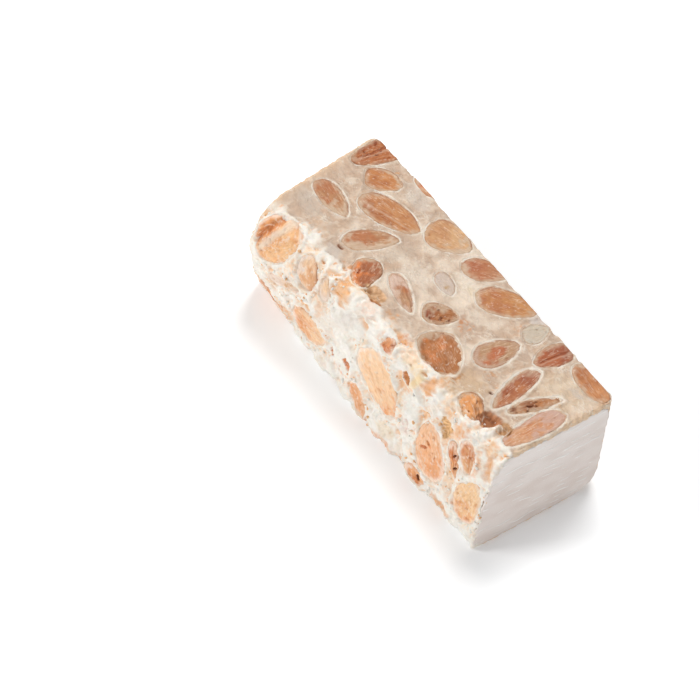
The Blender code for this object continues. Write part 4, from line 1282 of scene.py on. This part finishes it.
def wafer_material():
    """Wafer: dry and pale, with rows of short pressed dashes across it."""
    shader = Shader("wafer_finish")
    place = shader.place()
    across, up = (shader.node("ShaderNodeSeparateXYZ", {}, {0: place}, n) for n in (1, 2))
    wander = shader.noise(place, 0.12, 1, 0.5)
    rows = up * (1 / (DASH_ROW * MM)) + across * (DASH_SLOPE / (DASH_ROW * MM)) + wander * 1.6
    crest = rows.math("PINGPONG", rows, 0.5) * 2.0
    gate = shader.noise(shader.stretched(place, (1.0, 0.14, 0.8)), 1.3, 1, 0.5)
    dash = crest.ramp(0.7, 0.95) * gate.ramp(0.5, 0.6)
    fine = shader.noise(place, 2.4, 4, 0.6)
    colour = shader.tinted(dash * 0.9, shader.attribute("tint"), WAFER_DASH)
    height = dash * 0.5 + fine * 0.2
    shader.surface({
        "Base Color": colour,
        "Roughness": fine * 0.2 + 0.62,
        "Normal": shader.bump(height, 0.25),
        "Specular IOR Level": 0.3,
    })
    return shader.material


# ---------------------------------------------------------------- the bar


def build_bar():
    nougat = nougat_material()
    nut = almond_material()
    wafer = wafer_material()
    body, places = nougat_piece(nougat)
    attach(body, "root")
    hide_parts("nougat")
    crumbs = crumbs_piece(places, nougat)
    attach(crumbs, "root")
    for almond in almonds:
        piece = almond_piece(almond, nut)
        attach(piece, "root")
        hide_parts(almond.node)
    for end in ("near", "far"):
        piece = wafer_piece(end, wafer)
        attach(piece, "root")
        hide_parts("wafer_" + end)


# ---------------------------------------------------------------- stage


def build_floor():
    """A plain pale floor, large enough to fill every view."""
    mesh = bpy.data.meshes.new("floor")
    corners = [(FLOOR_REACH * x, FLOOR_REACH * y, 0) for x, y in ((-1, -1), (1, -1), (1, 1), (-1, 1))]
    mesh.from_pydata(corners, [], [(0, 1, 2, 3)])
    shader = Shader("floor_finish")
    shader.surface({
        "Base Color": (0.92, 0.94, 0.965, 1.0),
        "Roughness": 0.9,
        "Specular IOR Level": 0.1,
        "Emission Color": (1.0, 1.0, 1.0, 1.0),
        "Emission Strength": 0.19,
    })
    mesh.materials.append(shader.material)
    floor = bpy.data.objects.new("floor", mesh)
    bpy.context.scene.collection.objects.link(floor)


def add_softbox(name, azimuth, elevation, size, watts):
    """A square area light that faces the bar from an azimuth and an elevation, in metres and degrees."""
    data = bpy.data.lights.new(name, "AREA")
    data.shape = "SQUARE"
    data.size = size
    data.energy = watts
    data.color = LAMP_COLOUR
    lamp = bpy.data.objects.new(name, data)
    a, e = radians(azimuth), radians(elevation)
    away = Vector((sin(a) * cos(e), -cos(a) * cos(e), sin(e)))
    lamp.location = away * LAMP_DISTANCE
    lamp.rotation_euler = away.to_track_quat("Z", "Y").to_euler()
    bpy.context.scene.collection.objects.link(lamp)


def build_light():
    world = bpy.data.worlds.new("studio")
    world.use_nodes = True
    world.node_tree.nodes["Background"].inputs[0].default_value = (1.0, 0.985, 0.97, 1.0)
    world.node_tree.nodes["Background"].inputs[1].default_value = 0.2
    bpy.context.scene.world = world
    add_softbox("back", -143, 65, 0.45, 10.0)
    add_softbox("front", -32, 28, 0.4, 6.8)
    add_softbox("end", 62, 20, 0.6, 3.0)
    bpy.context.scene.view_settings.view_transform = "Standard"


def build_camera():
    """The camera looks at the bar from its azimuth and elevation, rolled a little, with the frame shifted."""
    a, e = radians(CAMERA_AZIMUTH), radians(CAMERA_ELEVATION)
    away = Vector((sin(a) * cos(e), -cos(a) * cos(e), sin(e)))
    turn = away.to_track_quat("Z", "Y").to_matrix() @ Matrix.Rotation(radians(CAMERA_ROLL), 3, "Z")
    aim = Vector(CAMERA_LOOKS_AT) - Vector(BOX_MIDDLE)
    data = bpy.data.cameras.new("camera")
    data.lens = CAMERA_LENS
    data.sensor_width = 36.0
    data.clip_end = 20.0
    data.shift_x, data.shift_y = CAMERA_SHIFT
    camera = bpy.data.objects.new("camera", data)
    camera.location = (aim + away * CAMERA_DISTANCE) * MM
    camera.rotation_euler = turn.to_euler()
    bpy.context.scene.collection.objects.link(camera)
    bpy.context.scene.camera = camera


build_bar()
build_floor()
build_light()
build_camera()
